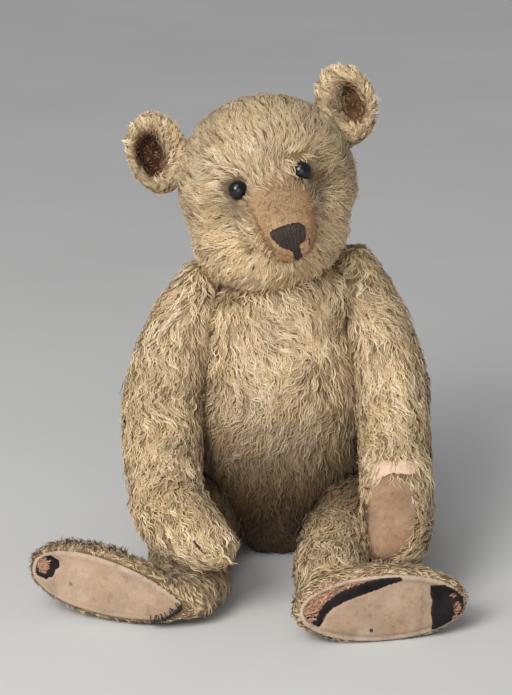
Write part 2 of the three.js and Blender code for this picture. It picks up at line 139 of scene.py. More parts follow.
def vn2(a, b, scale, seed=0):
    return vn(np.stack([a, b, np.zeros_like(a) + 5.5], -1), scale, seed)


def rodrigues(v, k, deg):
    t = math.radians(deg)
    return v * math.cos(t) + np.cross(k, v) * math.sin(t) + k * np.dot(k, v) * (1 - math.cos(t))


HX, HF, HZ = np.array([1.0, 0, 0]), np.array([0, -1.0, 0]), np.array([0, 0, 1.0])
HX, HZ = rodrigues(HX, HF, 15.5), rodrigues(HZ, HF, 15.5)
HX, HF = rodrigues(HX, HZ, 6.5), rodrigues(HF, HZ, 6.5)
HF, HZ = rodrigues(HF, HX, 0.8), rodrigues(HZ, HX, 0.8)
JOINT["neck"] = dict(p=[-3.5, -9, 180], a=HZ.tolist(), disc=17)
for _j in JOINT.values():
    _j["p"], _j["a"] = np.array(_j["p"], float), unit(_j["a"])


def H(x, f, z):
    return HEAD_C + np.multiply.outer(np.asarray(x, float), HX) + np.multiply.outer(np.asarray(f, float), HF) + np.multiply.outer(np.asarray(z, float), HZ)


def to_head(p):
    q = p - HEAD_C
    return q @ HX, q @ HF, q @ HZ


def poly_sdf(a, b, pts):
    """Signed distance to a closed outline, negative inside."""
    a, b = np.asarray(a, float), np.asarray(b, float)
    pts = np.asarray(pts, float)
    best = np.full(a.shape, 1e18)
    inside = np.zeros(a.shape, bool)
    for k in range(len(pts)):
        x0, y0 = pts[k]
        x1, y1 = pts[(k + 1) % len(pts)]
        ex, ey = x1 - x0, y1 - y0
        t = np.clip(((a - x0) * ex + (b - y0) * ey) / max(ex * ex + ey * ey, 1e-12), 0, 1)
        best = np.minimum(best, (a - x0 - t * ex) ** 2 + (b - y0 - t * ey) ** 2)
        cross = ((y0 > b) != (y1 > b)) & (a < (x1 - x0) * (b - y0) / (y1 - y0 + 1e-12) + x0)
        inside ^= cross
    d = np.sqrt(best)
    return np.where(inside, -d, d)


def line_dist(a, b, pts):
    pts = np.asarray(pts, float)
    best = np.full(np.shape(a), 1e18)
    for k in range(len(pts) - 1):
        x0, y0 = pts[k]
        ex, ey = pts[k + 1] - pts[k]
        t = np.clip(((a - x0) * ex + (b - y0) * ey) / max(ex * ex + ey * ey, 1e-12), 0, 1)
        best = np.minimum(best, (a - x0 - t * ex) ** 2 + (b - y0 - t * ey) ** 2)
    return np.sqrt(best)


# ------------------------------------------------------------------ closed forms
def rows(st, u):
    st = np.asarray(st, float)
    n = len(st) - 1
    x = np.clip(u * n, 0, n - 1e-9)
    i = np.floor(x).astype(int)
    f = (x - i)[:, None]
    p0, p1 = st[i], st[i + 1]
    pm = np.where((i > 0)[:, None], st[np.maximum(i - 1, 0)], 2 * p0 - p1)
    p2 = np.where((i + 2 <= n)[:, None], st[np.minimum(i + 2, n)], 2 * p1 - p0)
    return 0.5 * (2 * p0 + (-pm + p1) * f + (2 * pm - 5 * p0 + 4 * p1 - p2) * f * f + (-pm + 3 * p0 - 3 * p1 + p2) * f ** 3)


def grid_form(rings):
    """Closed form from rings (m, k, 3); the first and last ring are single points."""
    m, k, _ = rings.shape
    verts = np.concatenate([rings[0, :1], rings[1:-1].reshape(-1, 3), rings[-1, :1]])
    faces = []
    last = 1 + (m - 2) * k
    for j in range(k):
        n = (j + 1) % k
        faces.append((0, 1 + j, 1 + n))
        for i in range(m - 3):
            a, b = 1 + i * k, 1 + (i + 1) * k
            faces.append((a + j, b + j, b + n, a + n))
        e = 1 + (m - 3) * k
        faces.append((e + j, last, e + n))
    return verts, faces


def limb(st, ref, p, section=2.0, seg=48, nt=44, grow=0.0):
    th = np.linspace(0, math.pi, nt + 1)
    u = 0.45 * th / math.pi + 0.55 * (1 - np.cos(th)) / 2
    r = rows(st, u)
    t = unit(rows(st, np.minimum(u + 1e-3, 1))[:, :3] - rows(st, np.maximum(u - 1e-3, 0))[:, :3])
    a = tang(np.broadcast_to(np.asarray(ref, float), t.shape), t)
    b = np.cross(t, a)
    w = np.maximum(0, 1 - np.abs(2 * u - 1) ** p) ** (1 / p)
    w[0] = w[-1] = 0
    ph = np.linspace(0, 2 * math.pi, seg, endpoint=False)
    cs, sn = np.cos(ph), np.sin(ph)
    ca, sa = np.sign(cs) * np.abs(cs) ** (2 / section), np.sign(sn) * np.abs(sn) ** (2 / section)
    c = r[:, :3] + t * (np.where(np.arange(nt + 1) == 0, -1, 0) + np.where(np.arange(nt + 1) == nt, 1, 0))[:, None] * grow
    rings = (c[:, None] + a[:, None] * (ca[None, :, None] * ((r[:, 3] + grow) * w)[:, None, None])
             + b[:, None] * (sa[None, :, None] * ((r[:, 4] + grow) * w)[:, None, None]))
    return grid_form(rings)


def ball(c, ax, ay, az, r, seg=48, nt=28):
    th = np.linspace(0, math.pi, nt + 1)[:, None]
    ph = np.linspace(0, 2 * math.pi, seg, endpoint=False)[None]
    x, y, z = np.sin(th) * np.cos(ph), np.sin(th) * np.sin(ph), np.cos(th) + 0 * ph
    rings = c + x[..., None] * (ax * r[0]) + y[..., None] * (ay * r[1]) + z[..., None] * (az * r[2])
    return grid_form(rings)


def basis(z):
    z = unit(z)
    hint = np.array([0, 1.0, 0]) if abs(z[1]) < 0.9 else np.array([1.0, 0, 0])
    x = unit(hint - z * (hint @ z))
    return x, np.cross(z, x), z


def cap(j, sign, radius, depth, seg=40):
    x, y, z = basis(j["a"] * sign)
    e = 6
    prof = [(0, GAP), (radius - e, GAP), (radius - 1.5, GAP + 2), (radius, GAP + e), (radius, depth - 8), (radius - 3, depth - 3), (radius - 10, depth), (0, depth)]
    ph = np.linspace(0, 2 * math.pi, seg, endpoint=False)
    rings = np.array([j["p"] + z * s + (x * np.cos(ph)[:, None] + y * np.sin(ph)[:, None]) * max(r, 1e-6) for r, s in prof])
    return grid_form(rings)


def foot_frame(side):
    f = FEET[side]
    t = unit(f["toe"])
    n = np.array(f["out"], float)
    n = unit(n - t * (n @ t))
    u = unit(np.cross(t, -n))
    if u[2] < 0:
        u = -u
    return np.array(f["c"], float), t, n, u, f


def sole_half(f, c):
    return f["heel"] + (f["toeH"] - f["heel"]) * (0.5 + 0.5 * c) + 2.0 * (1 - c * c)


def sole_outline(side, inset=0.0, k=96):
    f = FEET[side]
    ph = np.linspace(0, 2 * math.pi, k, endpoint=False)
    cs, sn = np.cos(ph), np.sin(ph)
    ca, sa = np.sign(cs) * np.abs(cs) ** 0.88, np.sign(sn) * np.abs(sn) ** 0.9
    return np.stack([ca * (f["half"] - inset), sa * (sole_half(f, ca) - inset)], -1)


def foot_form(side, seg=64):
    c, t, n, u, f = foot_frame(side)
    prof = [(0, 0), (0.55, 0), (0.9, 0.005), (0.975, 0.05), (1, 0.14), (1, 0.28), (0.97, 0.45), (0.9, 0.62), (0.78, 0.78), (0.58, 0.9), (0.3, 0.98), (0, 1)]
    o = sole_outline(side, 0, seg)
    rings = []
    for s, w in prof:
        s = max(s, 1e-6)
        rings.append(c + np.outer(o[:, 0] * s, t) + np.outer(o[:, 1] * s, u) - n * (w * f["thick"]))
    return grid_form(np.array(rings))


# ------------------------------------------------------------------ meshes
def link(ob):
    bpy.context.scene.collection.objects.link(ob)
    return ob


def make_mesh(name, verts, faces, smooth=True):
    """faces is a list of index tuples, or an array of triangles or quads."""
    me = bpy.data.meshes.new(name)
    verts = np.asarray(verts, np.float32) * MM
    if isinstance(faces, np.ndarray):
        n, k = faces.shape
        me.vertices.add(len(verts))
        me.vertices.foreach_set("co", verts.ravel())
        me.loops.add(n * k)
        me.loops.foreach_set("vertex_index", faces.astype(np.int32).ravel())
        me.polygons.add(n)
        me.polygons.foreach_set("loop_start", (np.arange(n) * k).astype(np.int32))
        me.update(calc_edges=True)
    else:
        me.from_pydata(verts.tolist(), [], [tuple(int(i) for i in f) for f in faces])
        me.update()
    me.validate(clean_customdata=False)
    me.polygons.foreach_set("use_smooth", np.full(len(me.polygons), smooth))
    return link(bpy.data.objects.new(name, me))


def joined(parts):
    vs, fs, base = [], [], 0
    for v, f in parts:
        vs.append(np.asarray(v, float))
        fs += [tuple(int(i) + base for i in q) for q in f]
        base += len(v)
    return np.concatenate(vs), fs


def coords(me):
    co = np.zeros(len(me.vertices) * 3, np.float32)
    me.vertices.foreach_get("co", co)
    return co.reshape(-1, 3).astype(float) / MM


def set_coords(me, v):
    me.vertices.foreach_set("co", (np.asarray(v) * MM).astype(np.float32).ravel())
    me.update()


def relax(v, edges, times, amount=0.5, hold=-0.52):
    n = len(v)
    deg = np.bincount(edges.ravel(), minlength=n)[:, None].astype(float)
    for i in range(times):
        for lam in (amount, hold):
            if lam == 0:
                continue
            s = np.zeros_like(v)
            for k in range(3):
                s[:, k] = np.bincount(edges[:, 0], v[edges[:, 1], k], n) + np.bincount(edges[:, 1], v[edges[:, 0], k], n)
            v = v + lam * (s / np.maximum(deg, 1) - v)
    return v


class Skin:
    """Outer cloth of one stuffed part, joined from closed forms and smoothed."""

    def __init__(self, name, parts, voxel, smooth, shape=None):
        raw = make_mesh(name + "_raw", *joined(parts))
        m = raw.modifiers.new("r", "REMESH")
        m.mode, m.voxel_size = "VOXEL", voxel * MM
        dg = bpy.context.evaluated_depsgraph_get()
        me = bpy.data.meshes.new_from_object(raw.evaluated_get(dg))
        bpy.data.objects.remove(raw)
        me.name = name
        v = coords(me)
        e = np.zeros(len(me.edges) * 2, np.int32)
        me.edges.foreach_get("vertices", e)
        e = e.reshape(-1, 2)
        v = relax(v, e, smooth)
        if shape:
            v = shape(v)
            v = relax(v, e, 1, 0.3, -0.31)
            v = shape(v)
        set_coords(me, v)
        me.polygons.foreach_set("use_smooth", np.full(len(me.polygons), True))
        self.ob = link(bpy.data.objects.new(name, me))
        self.refresh()

    def refresh(self):
        me = self.ob.data
        me.update()
        self.v = coords(me)
        n = np.zeros(len(me.vertices) * 3, np.float32)
        me.vertices.foreach_get("normal", n)
        self.n = unit(n.reshape(-1, 3))
        me.calc_loop_triangles()
        t = np.zeros(len(me.loop_triangles) * 3, np.int32)
        me.loop_triangles.foreach_get("vertices", t)
        self.t = t.reshape(-1, 3)
        a, b, c = (self.v[self.t[:, k]] for k in range(3))
        self.area = np.linalg.norm(np.cross(b - a, c - a), axis=1) / 2
        self.bvh = BVHTree.FromPolygons(self.v.tolist(), self.t.tolist())

    def scatter(self, n, weight):
        cen = self.v[self.t].mean(1)
        cn = unit(self.n[self.t].mean(1))
        w = self.area * np.maximum(weight(cen, cn), 0)
        total = w.sum()
        pick = RNG.choice(len(w), int(n), p=w / total)
        r = RNG.random((int(n), 2))
        s = np.sqrt(r[:, :1])
        bary = np.concatenate([1 - s, s * (1 - r[:, 1:]), s * r[:, 1:]], 1)
        tri = self.t[pick]
        p = (self.v[tri] * bary[..., None]).sum(1)
        nn = unit((self.n[tri] * bary[..., None]).sum(1))
        return p, nn

    def hit(self, origin, direction):
        loc, nor, _, _ = self.bvh.ray_cast(Vector(origin), Vector(direction))
        return (None, None) if loc is None else (np.array(loc), np.array(nor))


# ------------------------------------------------------------------ materials
def nodes_of(name):
    m = bpy.data.materials.new(name)
    m.use_nodes = True
    nt = m.node_tree
    nt.nodes.clear()
    out = nt.nodes.new("ShaderNodeOutputMaterial")
    b = nt.nodes.new("ShaderNodeBsdfPrincipled")
    nt.links.new(b.outputs[0], out.inputs[0])
    return m, nt, b


def lk(nt, a, b):
    nt.links.new(a, b)


def coord(nt):
    return nt.nodes.new("ShaderNodeTexCoord").outputs["Object"]


def noise_tex(nt, vec, scale, detail=4.0, rough=0.55, distort=0.0):
    n = nt.nodes.new("ShaderNodeTexNoise")
    n.inputs["Scale"].default_value = scale
    n.inputs["Detail"].default_value = detail
    n.inputs["Roughness"].default_value = rough
    n.inputs["Distortion"].default_value = distort
    lk(nt, vec, n.inputs["Vector"])
    return n.outputs["Fac"]


def ramp(nt, fac, stops):
    r = nt.nodes.new("ShaderNodeValToRGB")
    e = r.color_ramp.elements
    while len(e) < len(stops):
        e.new(0.5)
    for k, (pos, col) in enumerate(stops):
        e[k].position = pos
        e[k].color = (*col, 1) if len(col) == 3 else col
    lk(nt, fac, r.inputs[0])
    return r.outputs[0]


def mixc(nt, fac, a, b, mode="MIX"):
    m = nt.nodes.new("ShaderNodeMix")
    m.data_type, m.blend_type = "RGBA", mode
    for sock, val in ((0, fac), (6, a), (7, b)):
        if isinstance(val, bpy.types.NodeSocket):
            lk(nt, val, m.inputs[sock])
        elif sock == 0:
            m.inputs[0].default_value = val
        else:
            m.inputs[sock].default_value = (*val, 1)
    return m.outputs[2]


def attr(nt, name):
    a = nt.nodes.new("ShaderNodeAttribute")
    a.attribute_name = name
    return a


def bump(nt, b, height, strength, dist):
    n = nt.nodes.new("ShaderNodeBump")
    n.inputs["Strength"].default_value = strength
    n.inputs["Distance"].default_value = dist
    lk(nt, height, n.inputs["Height"])
    lk(nt, n.outputs[0], b.inputs["Normal"])


def math_n(nt, op, a, b=0.0):
    m = nt.nodes.new("ShaderNodeMath")
    m.operation = op
    for k, val in enumerate((a, b)):
        if isinstance(val, bpy.types.NodeSocket):
            lk(nt, val, m.inputs[k])
        else:
            m.inputs[k].default_value = val
    return m.outputs[0]


def fur_material():
    m, nt, b = nodes_of("mohair_pile")
    a = attr(nt, "Col")
    n = noise_tex(nt, coord(nt), 700, 3)
    c = mixc(nt, 1.0, a.outputs["Color"], ramp(nt, n, [(0.3, (0.80, 0.78, 0.74)), (0.7, (1.0, 1.0, 1.0))]), "MULTIPLY")
    lk(nt, c, b.inputs["Base Color"])
    b.inputs["Roughness"].default_value = 0.46
    b.inputs["Specular IOR Level"].default_value = 0.42
    b.inputs["Sheen Weight"].default_value = 0.12
    b.inputs["Sheen Roughness"].default_value = 0.4
    return m


def skin_material():
    m, nt, b = nodes_of("mohair_ground")
    v = coord(nt)
    a = attr(nt, "Col")
    n = noise_tex(nt, v, 900, 5, 0.7)
    c = mixc(nt, 1.0, a.outputs["Color"], ramp(nt, n, [(0.3, (0.55, 0.52, 0.48)), (0.68, (1.25, 1.22, 1.15))]), "MULTIPLY")
    lk(nt, c, b.inputs["Base Color"])
    b.inputs["Roughness"].default_value = 0.95
    b.inputs["Specular IOR Level"].default_value = 0.15
    bump(nt, b, n, 0.7, 0.0008)
    return m


def cloth_face_material():
    """Backing cloth laid bare on the muzzle, with the matted pile round it."""
    m, nt, b = nodes_of("worn_face_cloth")
    v = coord(nt)
    a = attr(nt, "Col")
    weave = nt.nodes.new("ShaderNodeTexVoronoi")
    weave.inputs["Scale"].default_value = 1250
    lk(nt, v, weave.inputs["Vector"])
    fine = noise_tex(nt, v, 1500, 4, 0.7)
    pits = noise_tex(nt, v, 310, 7, 0.82, 0.9)
    c = mixc(nt, 1.0, a.outputs["Color"], ramp(nt, weave.outputs["Distance"], [(0.0, (1.06, 1.05, 1.03)), (0.75, (0.72, 0.68, 0.62))]), "MULTIPLY")
    c = mixc(nt, 1.0, c, ramp(nt, fine, [(0.33, (0.74, 0.70, 0.66)), (0.6, (1.06, 1.04, 1.02))]), "MULTIPLY")
    specks = ramp(nt, pits, [(0.38, (1, 1, 1)), (0.53, (0, 0, 0))])
    dirt = nt.nodes.new("ShaderNodeMath")
    dirt.operation = "MULTIPLY"
    lk(nt, specks, dirt.inputs[0])
    lk(nt, attr(nt, "Speck").outputs["Fac"], dirt.inputs[1])
    c = mixc(nt, dirt.outputs[0], c, (0.115, 0.075, 0.045))
    lk(nt, c, b.inputs["Base Color"])
    b.inputs["Roughness"].default_value = 0.93
    b.inputs["Specular IOR Level"].default_value = 0.15
    h = math_n(nt, "SUBTRACT", fine, math_n(nt, "MULTIPLY", weave.outputs["Distance"], 0.8))
    bump(nt, b, h, 0.8, 0.0006)
    return m


def felt_material(name, dark=False):
    m, nt, b = nodes_of(name)
    v = coord(nt)
    a = attr(nt, "Col")
    stain = noise_tex(nt, v, 55, 5, 0.6)
    fibre = noise_tex(nt, v, 900, 6, 0.75, 0.4)
    pits = noise_tex(nt, v, 260, 4, 0.6)
    lo, hi = ((0.55, 0.52, 0.5), (1.7, 1.6, 1.55)) if dark else ((0.82, 0.80, 0.77), (1.08, 1.06, 1.05))
    c = mixc(nt, 1.0, a.outputs["Color"], ramp(nt, stain, [(0.3, lo), (0.68, hi)]), "MULTIPLY")
    c = mixc(nt, 1.0, c, ramp(nt, fibre, [(0.3, (0.80, 0.78, 0.75)), (0.7, (1.12, 1.12, 1.12))]), "MULTIPLY")
    c = mixc(nt, 1.0, c, ramp(nt, pits, [(0.28, (0.80, 0.76, 0.71)), (0.42, (1, 1, 1))]), "MULTIPLY")
    lk(nt, c, b.inputs["Base Color"])
    b.inputs["Roughness"].default_value = 0.95
    b.inputs["Specular IOR Level"].default_value = 0.12
    b.inputs["Sheen Weight"].default_value = 0.03 if dark else 0.25
    b.inputs["Sheen Roughness"].default_value = 0.5
    bump(nt, b, math_n(nt, "ADD", fibre, math_n(nt, "MULTIPLY", pits, 0.6)), 0.55, 0.0007)
    return m


def thread_material(name, dark, light, scale=1400):
    m, nt, b = nodes_of(name)
    v = coord(nt)
    n = noise_tex(nt, v, scale, 4, 0.6, 0.5)
    big = noise_tex(nt, v, 160, 2)
    c = mixc(nt, 1.0, ramp(nt, n, [(0.3, dark), (0.75, light)]), ramp(nt, big, [(0.3, (0.7, 0.7, 0.7)), (0.7, (1.2, 1.15, 1.1))]), "MULTIPLY")
    lk(nt, c, b.inputs["Base Color"])
    b.inputs["Roughness"].default_value = 0.6
    b.inputs["Specular IOR Level"].default_value = 0.35
    bump(nt, b, n, 0.5, 0.0003)
    return m


def eye_material():
    m, nt, b = nodes_of("boot_button_black")
    v = coord(nt)
    n = noise_tex(nt, v, 240, 4)
    lk(nt, ramp(nt, n, [(0.3, (0.003, 0.003, 0.004)), (0.75, (0.009, 0.010, 0.014))]), b.inputs["Base Color"])
    r = nt.nodes.new("ShaderNodeMapRange")
    r.inputs["To Min"].default_value, r.inputs["To Max"].default_value = 0.13, 0.22
    lk(nt, noise_tex(nt, v, 420, 5, 0.7), r.inputs["Value"])
    lk(nt, r.outputs[0], b.inputs["Roughness"])
    b.inputs["Specular IOR Level"].default_value = 0.45
    return m


def wood_material(name, dark, light, scale):
    m, nt, b = nodes_of(name)
    v = coord(nt)
    n = noise_tex(nt, v, scale, 5, 0.65, 1.2)
    lk(nt, ramp(nt, n, [(0.3, dark), (0.7, light)]), b.inputs["Base Color"])
    b.inputs["Roughness"].default_value = 0.8
    bump(nt, b, n, 0.5, 0.0006)
    return m


def steel_material():
    m, nt, b = nodes_of("dull_steel")
    v = coord(nt)
    n = noise_tex(nt, v, 500, 5)
    lk(nt, ramp(nt, n, [(0.35, (0.24, 0.20, 0.17)), (0.6, (0.45, 0.44, 0.42))]), b.inputs["Base Color"])
    b.inputs["Metallic"].default_value = 0.9
    b.inputs["Roughness"].default_value = 0.5
    return m


M_FUR, M_SKIN, M_FACE = fur_material(), skin_material(), cloth_face_material()
M_FELT, M_BLACK = felt_material("beige_felt"), felt_material("black_felt", True)
M_NOSE = thread_material("nose_thread", (0.012, 0.009, 0.008), (0.075, 0.055, 0.045))
M_DARK = thread_material("dark_thread", (0.008, 0.006, 0.006), (0.04, 0.03, 0.028))
M_SHAV = wood_material("wood_shavings", (0.20, 0.085, 0.045), (0.66, 0.40, 0.26), 500)
M_BOARD = wood_material("hardboard", (0.20, 0.14, 0.08), (0.42, 0.32, 0.20), 260)
M_EYE, M_STEEL = eye_material(), steel_material()


def colour(ob, rgb, name="Col"):
    me = ob.data
    a = me.color_attributes.new(name, "FLOAT_COLOR", "POINT")
    rgb = np.asarray(rgb, np.float32)
    c = np.ones((len(me.vertices), 4), np.float32)
    c[:, :3] = np.clip(rgb, 0, 4)
    a.data.foreach_set("color", c.ravel())


def number(ob, name, val):
    a = ob.data.attributes.new(name, "FLOAT", "POINT")
    a.data.foreach_set("value", np.asarray(val, np.float32))


def put(ob, body, mat, slot, *nodes):
    ob.data.materials.clear()
    ob.data.materials.append(mat)
    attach(ob, body)
    if nodes:
        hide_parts(*nodes)
    return ob


# ------------------------------------------------------------------ pile
CREAM, GOLD, OLIVE, BROWN = (np.array(c) for c in ((0.98, 0.80, 0.54), (0.74, 0.54, 0.31), (0.42, 0.33, 0.20), (0.27, 0.175, 0.088)))


def strands(p, n, g, par, nseg, bvh, floor=True):
    """Vertices (k, 2*nseg+1, 3), shading normals and colours of curved tapering strands that gather into locks."""
    k = len(p)
    lock = g
    d0, lg, ph, curl, tone, amp, wl, lift, wid, drop, clump = (par[x][lock] for x in ("d", "len", "phase", "curl", "tone", "amp", "wl", "lift", "wid", "drop", "clump"))
    d = tang(d0, n)
    d = turn(d, n, RNG.normal(0, 0.10, k))
    b = np.cross(n, d)
    o = par["p"][lock] - p
    o = o - n * (o * n).sum(1, keepdims=True)
    lc = lg * (0.72 + 0.42 * RNG.random(k))
    fly = RNG.random(k) < 0.05
    lc = np.where(fly, lc * 1.15, lc)
    lift = lift * (0.7 + 0.6 * RNG.random(k)) + fly * 0.25
    ph = ph + RNG.normal(0, 0.26, k)
    s = np.linspace(0, 1, nseg + 1)[None, :]
    L = lc[:, None]
    along = L * s * (1 - 0.10 * np.abs(curl[:, None]) * s)
    high = L * lift[:, None] * (s - 0.60 * s * s) - drop[:, None] * (L * s) ** 2 / 2
    wv = 2 * math.pi * L * s / wl[:, None] + ph[:, None]
    env = np.minimum(1, s * 2.2)
    side = amp[:, None] * (np.sin(wv) - np.sin(ph)[:, None]) * env + curl[:, None] * L * s * s * 0.45
    high = high + 0.62 * amp[:, None] * (np.cos(wv + 0.6) - np.cos(ph + 0.6)[:, None]) * env
    gather = (clump[:, None] * s ** 0.85)
    root = p - n * 0.5
    c = (root[:, None] + d[:, None] * along[..., None] + b[:, None] * side[..., None] + n[:, None] * high[..., None] + o[:, None] * gather[..., None])
    # a strand lies on the skin where the skin rises under it
    rise = 0.22 + 0.22 * RNG.random(k)
    for j in range(1, nseg + 1):
        for i in range(k):
            q = c[i, j]
            hit = bvh.find_nearest(q, 9.0)
            if hit[0] is None:
                continue
            hn = hit[1]
            if hn[0] * n[i, 0] + hn[1] * n[i, 1] + hn[2] * n[i, 2] < 0.1:
                continue
            hgt = (q[0] - hit[0][0]) * hn[0] + (q[1] - hit[0][1]) * hn[1] + (q[2] - hit[0][2]) * hn[2]
            need = rise[i] + 0.75 * j / nseg
            if hgt < need:
                c[i, j] += np.array(hn) * (need - hgt)
    if floor:
        c[..., 2] = np.maximum(c[..., 2], 0.5 + 0.4 * RNG.random(k)[:, None])
    t = unit(np.gradient(c, axis=1))
    roll = RNG.normal(0, 0.62, k)
    face = n * np.cos(roll)[:, None] + b * np.sin(roll)[:, None]
    sv = unit(np.cross(t, np.broadcast_to(face[:, None], t.shape)))
    w = (wid * (0.75 + 0.5 * RNG.random(k)))[:, None] * (1 - s ** 2.2) * (0.8 + 0.2 * np.sin(math.pi * s)) / 2
    out = np.cross(sv, t)
    flip = np.sign((out * n[:, None]).sum(-1, keepdims=True))
    out = out * np.where(flip == 0, 1, flip)
    left, right = c - sv * w[..., None], c + sv * w[..., None]
    nn = n[:, None] * 0.62 + out * 0.78
    nl, nr = unit(nn - sv * 0.45), unit(nn + sv * 0.45)
    verts = np.empty((k, 2 * nseg + 1, 3))
    norms = np.empty_like(verts)
    verts[:, 0:2 * nseg:2], verts[:, 1:2 * nseg:2], verts[:, -1] = left[:, :-1], right[:, :-1], c[:, -1]
    norms[:, 0:2 * nseg:2], norms[:, 1:2 * nseg:2], norms[:, -1] = nl[:, :-1], nr[:, :-1], unit(nn[:, -1])
    # colour: dark root, light tip, each lock and strand a little different
    shade = np.clip(tone + RNG.normal(0, 0.16, k), -1, 1)
    tipc = np.where(shade[:, None] > 0, mix(GOLD, CREAM, np.clip(shade, 0, 1)[:, None]), mix(GOLD, OLIVE, np.clip(-shade, 0, 1)[:, None]))
    tint = par["tint"][lock]
    ss = np.concatenate([np.repeat(s[0, :-1], 2), s[0, -1:]])
    up = np.clip(ss[None, :, None] ** 0.62 * 1.2, 0, 1)
    rootc = BROWN * (0.8 + 0.5 * RNG.random(k))[:, None]
    rootc = mix(rootc, tipc * 0.62, par["fair"][lock][:, None])
    cols = mix(rootc[:, None], tipc[:, None], up) * tint[:, None]
    return verts, norms, cols


def pile(name, body, skin, n, cell, weight, field, nseg, split=1, nodes=(), slot="mohair"):
    """Grows n strands on a skin. field gives each lock's own numbers."""
    lp, ln = skin.scatter(int(skin.area.sum() / cell ** 2 * 2.6), lambda p, q: (weight(p, q) > 0.02) * 1.0)
    key = np.floor(lp / cell).astype(np.int64)
    _, first = np.unique(key[:, 0] * 1000003 + key[:, 1] * 1009 + key[:, 2], return_index=True)
    lp, ln = lp[np.sort(first)], ln[np.sort(first)]
    m = len(lp)
    par = dict(p=lp, phase=9.0 * vn(lp, 11, 61) + 3.0 * vn(lp, 4, 62) + RNG.normal(0, 0.45, m), curl=RNG.normal(0, 0.42, m), tone=RNG.normal(0.18, 0.50, m),
               amp=np.full(m, 0.5), wl=np.full(m, 7.0), lift=np.full(m, 0.45), wid=np.full(m, 0.7), drop=np.full(m, 0.02),
               clump=np.clip(RNG.normal(0.42, 0.15, m), 0.1, 0.85), tint=np.ones((m, 3)), fair=np.full(m, 0.20))
    par.update(field(lp, ln, par))
    lum, warm = vn(lp, 14, 71), vn(lp, 17, 73)
    hue = np.stack([lum, lum - 0.10 * warm, 0.9 * lum - 0.75 * warm], -1)
    par["tint"] = np.clip(par["tint"] * (1 + 0.085 * hue), 0, 1.25)
    kd = KDTree(m)
    for i, q in enumerate(lp + 4 * ln):
        kd.insert(q, i)
    kd.balance()
    p, nn = skin.scatter(n, weight)
    g = np.array([kd.find(q)[1] for q in p + 4 * nn])
    verts, norms, cols = strands(p, nn, g, par, nseg, skin.bvh)
    keep = par["len"][g] > 0.35
    verts, norms, cols = verts[keep], norms[keep], cols[keep]
    order = np.argsort(p[keep][:, 2], kind="stable")
    out = []
    for part, sel in enumerate(np.array_split(order, split)):
        v, q, c = verts[sel], norms[sel], cols[sel]
        k, per = len(v), 2 * nseg + 1
        quads = np.array([[2 * i, 2 * i + 1, 2 * i + 3, 2 * i + 2] for i in range(nseg - 1)])
        base = (np.arange(k) * per)[:, None]
        me = bpy.data.meshes.new(f"{name}_{part + 1}")
        me.vertices.add(k * per)
        me.vertices.foreach_set("co", (v * MM).astype(np.float32).ravel())
        lo = np.concatenate([(quads.ravel()[None] + base), (np.array([[per - 3, per - 2, per - 1]]) + base)], 1)
        starts = np.concatenate([np.arange(nseg - 1) * 4, [(nseg - 1) * 4]])
        ln_per = (nseg - 1) * 4 + 3
        me.loops.add(k * ln_per)
        me.loops.foreach_set("vertex_index", lo.astype(np.int32).ravel())
        me.polygons.add(k * nseg)
        me.polygons.foreach_set("loop_start", (starts[None] + (np.arange(k) * ln_per)[:, None]).astype(np.int32).ravel())
        me.update(calc_edges=True)
        me.polygons.foreach_set("use_smooth", np.full(k * nseg, True))
        uv = me.uv_layers.new(name="OFBake")
        side = int(math.ceil(math.sqrt(k)))
        cu, cv = (np.arange(k) % side) / side, (np.arange(k) // side) / side
        row = np.concatenate([np.repeat(np.arange(nseg), 2), [nseg]]) / nseg
        col = np.concatenate([np.tile([0.12, 0.88], nseg), [0.5]])
        vu = cu[:, None] + (0.04 + 0.92 * col[None]) / side
        vv = cv[:, None] + (0.06 + 0.88 * row[None]) / side
        flat = lo.ravel()
        uv.uv.foreach_set("vector", np.stack([vu.ravel()[flat], vv.ravel()[flat]], -1).astype(np.float32).ravel())
        ob = link(bpy.data.objects.new(f"{name}_{part + 1}", me))
        colour(ob, c.reshape(-1, 3))
        me.normals_split_custom_set_from_vertices(q.reshape(-1, 3).astype(np.float32))
        put(ob, body, M_FUR, slot, *nodes)
        out.append(ob)
    return out


def near_disc(p, names, extra=9.0):
    """1 where the pile is kept, 0 where two parts meet face to face at a joint."""
    keep = np.ones(len(p))
    for k in names:
        j = JOINT[k]
        q = p - j["p"]
        s = q @ j["a"]
        r = np.linalg.norm(q - s[:, None] * j["a"], axis=1)
        keep *= 1 - (1 - sstep(j["disc"] - 2, j["disc"] + extra, r)) * (np.abs(s) < 3.5)
    return keep


# ------------------------------------------------------------------ skins
UPX = np.array([1.0, 0, 0])


def push_to(v, p, a, limit, amount=1.0):
    """Points whose height over the plane is below limit move up to it."""
    s = (v - p) @ a
    return v + np.outer(np.maximum(limit - s, 0) * amount, a)


def torso_shape(v):
    for j in JOINT.values():
        v = push_to(v, j["p"], -j["a"], GAP)
    v[:, 2] = np.maximum(v[:, 2], 0.15)
    return v


def arm_shape(side):
    j = JOINT["shoulder_" + side]

    def f(v):
        v = push_to(v, j["p"], j["a"], GAP, sstep(-112, -98, v[:, 1]))
        return v
    return f


def foot_coords(side, p):
    c, t, n, u, f = foot_frame(side)
    q = p - c
    a, b, h = q @ t, q @ u, q @ n
    return a, b, h, poly_sdf(a, b, sole_outline(side))


def leg_shape(side):
    j = JOINT["hip_" + side]
    n = foot_frame(side)[2]

    def f(v):
        v = push_to(v, j["p"], j["a"], GAP)
        a, b, h, s = foot_coords(side, v)
        limit = mix(-SOLE_IN, 0.6, sstep(-4.0, -1.6, s))
        v = v - np.outer(np.where((h > -12) & (s < 3), np.maximum(h - limit, 0), 0), n)
        v[:, 2] = np.maximum(v[:, 2], 0.15)
        return v
    return f


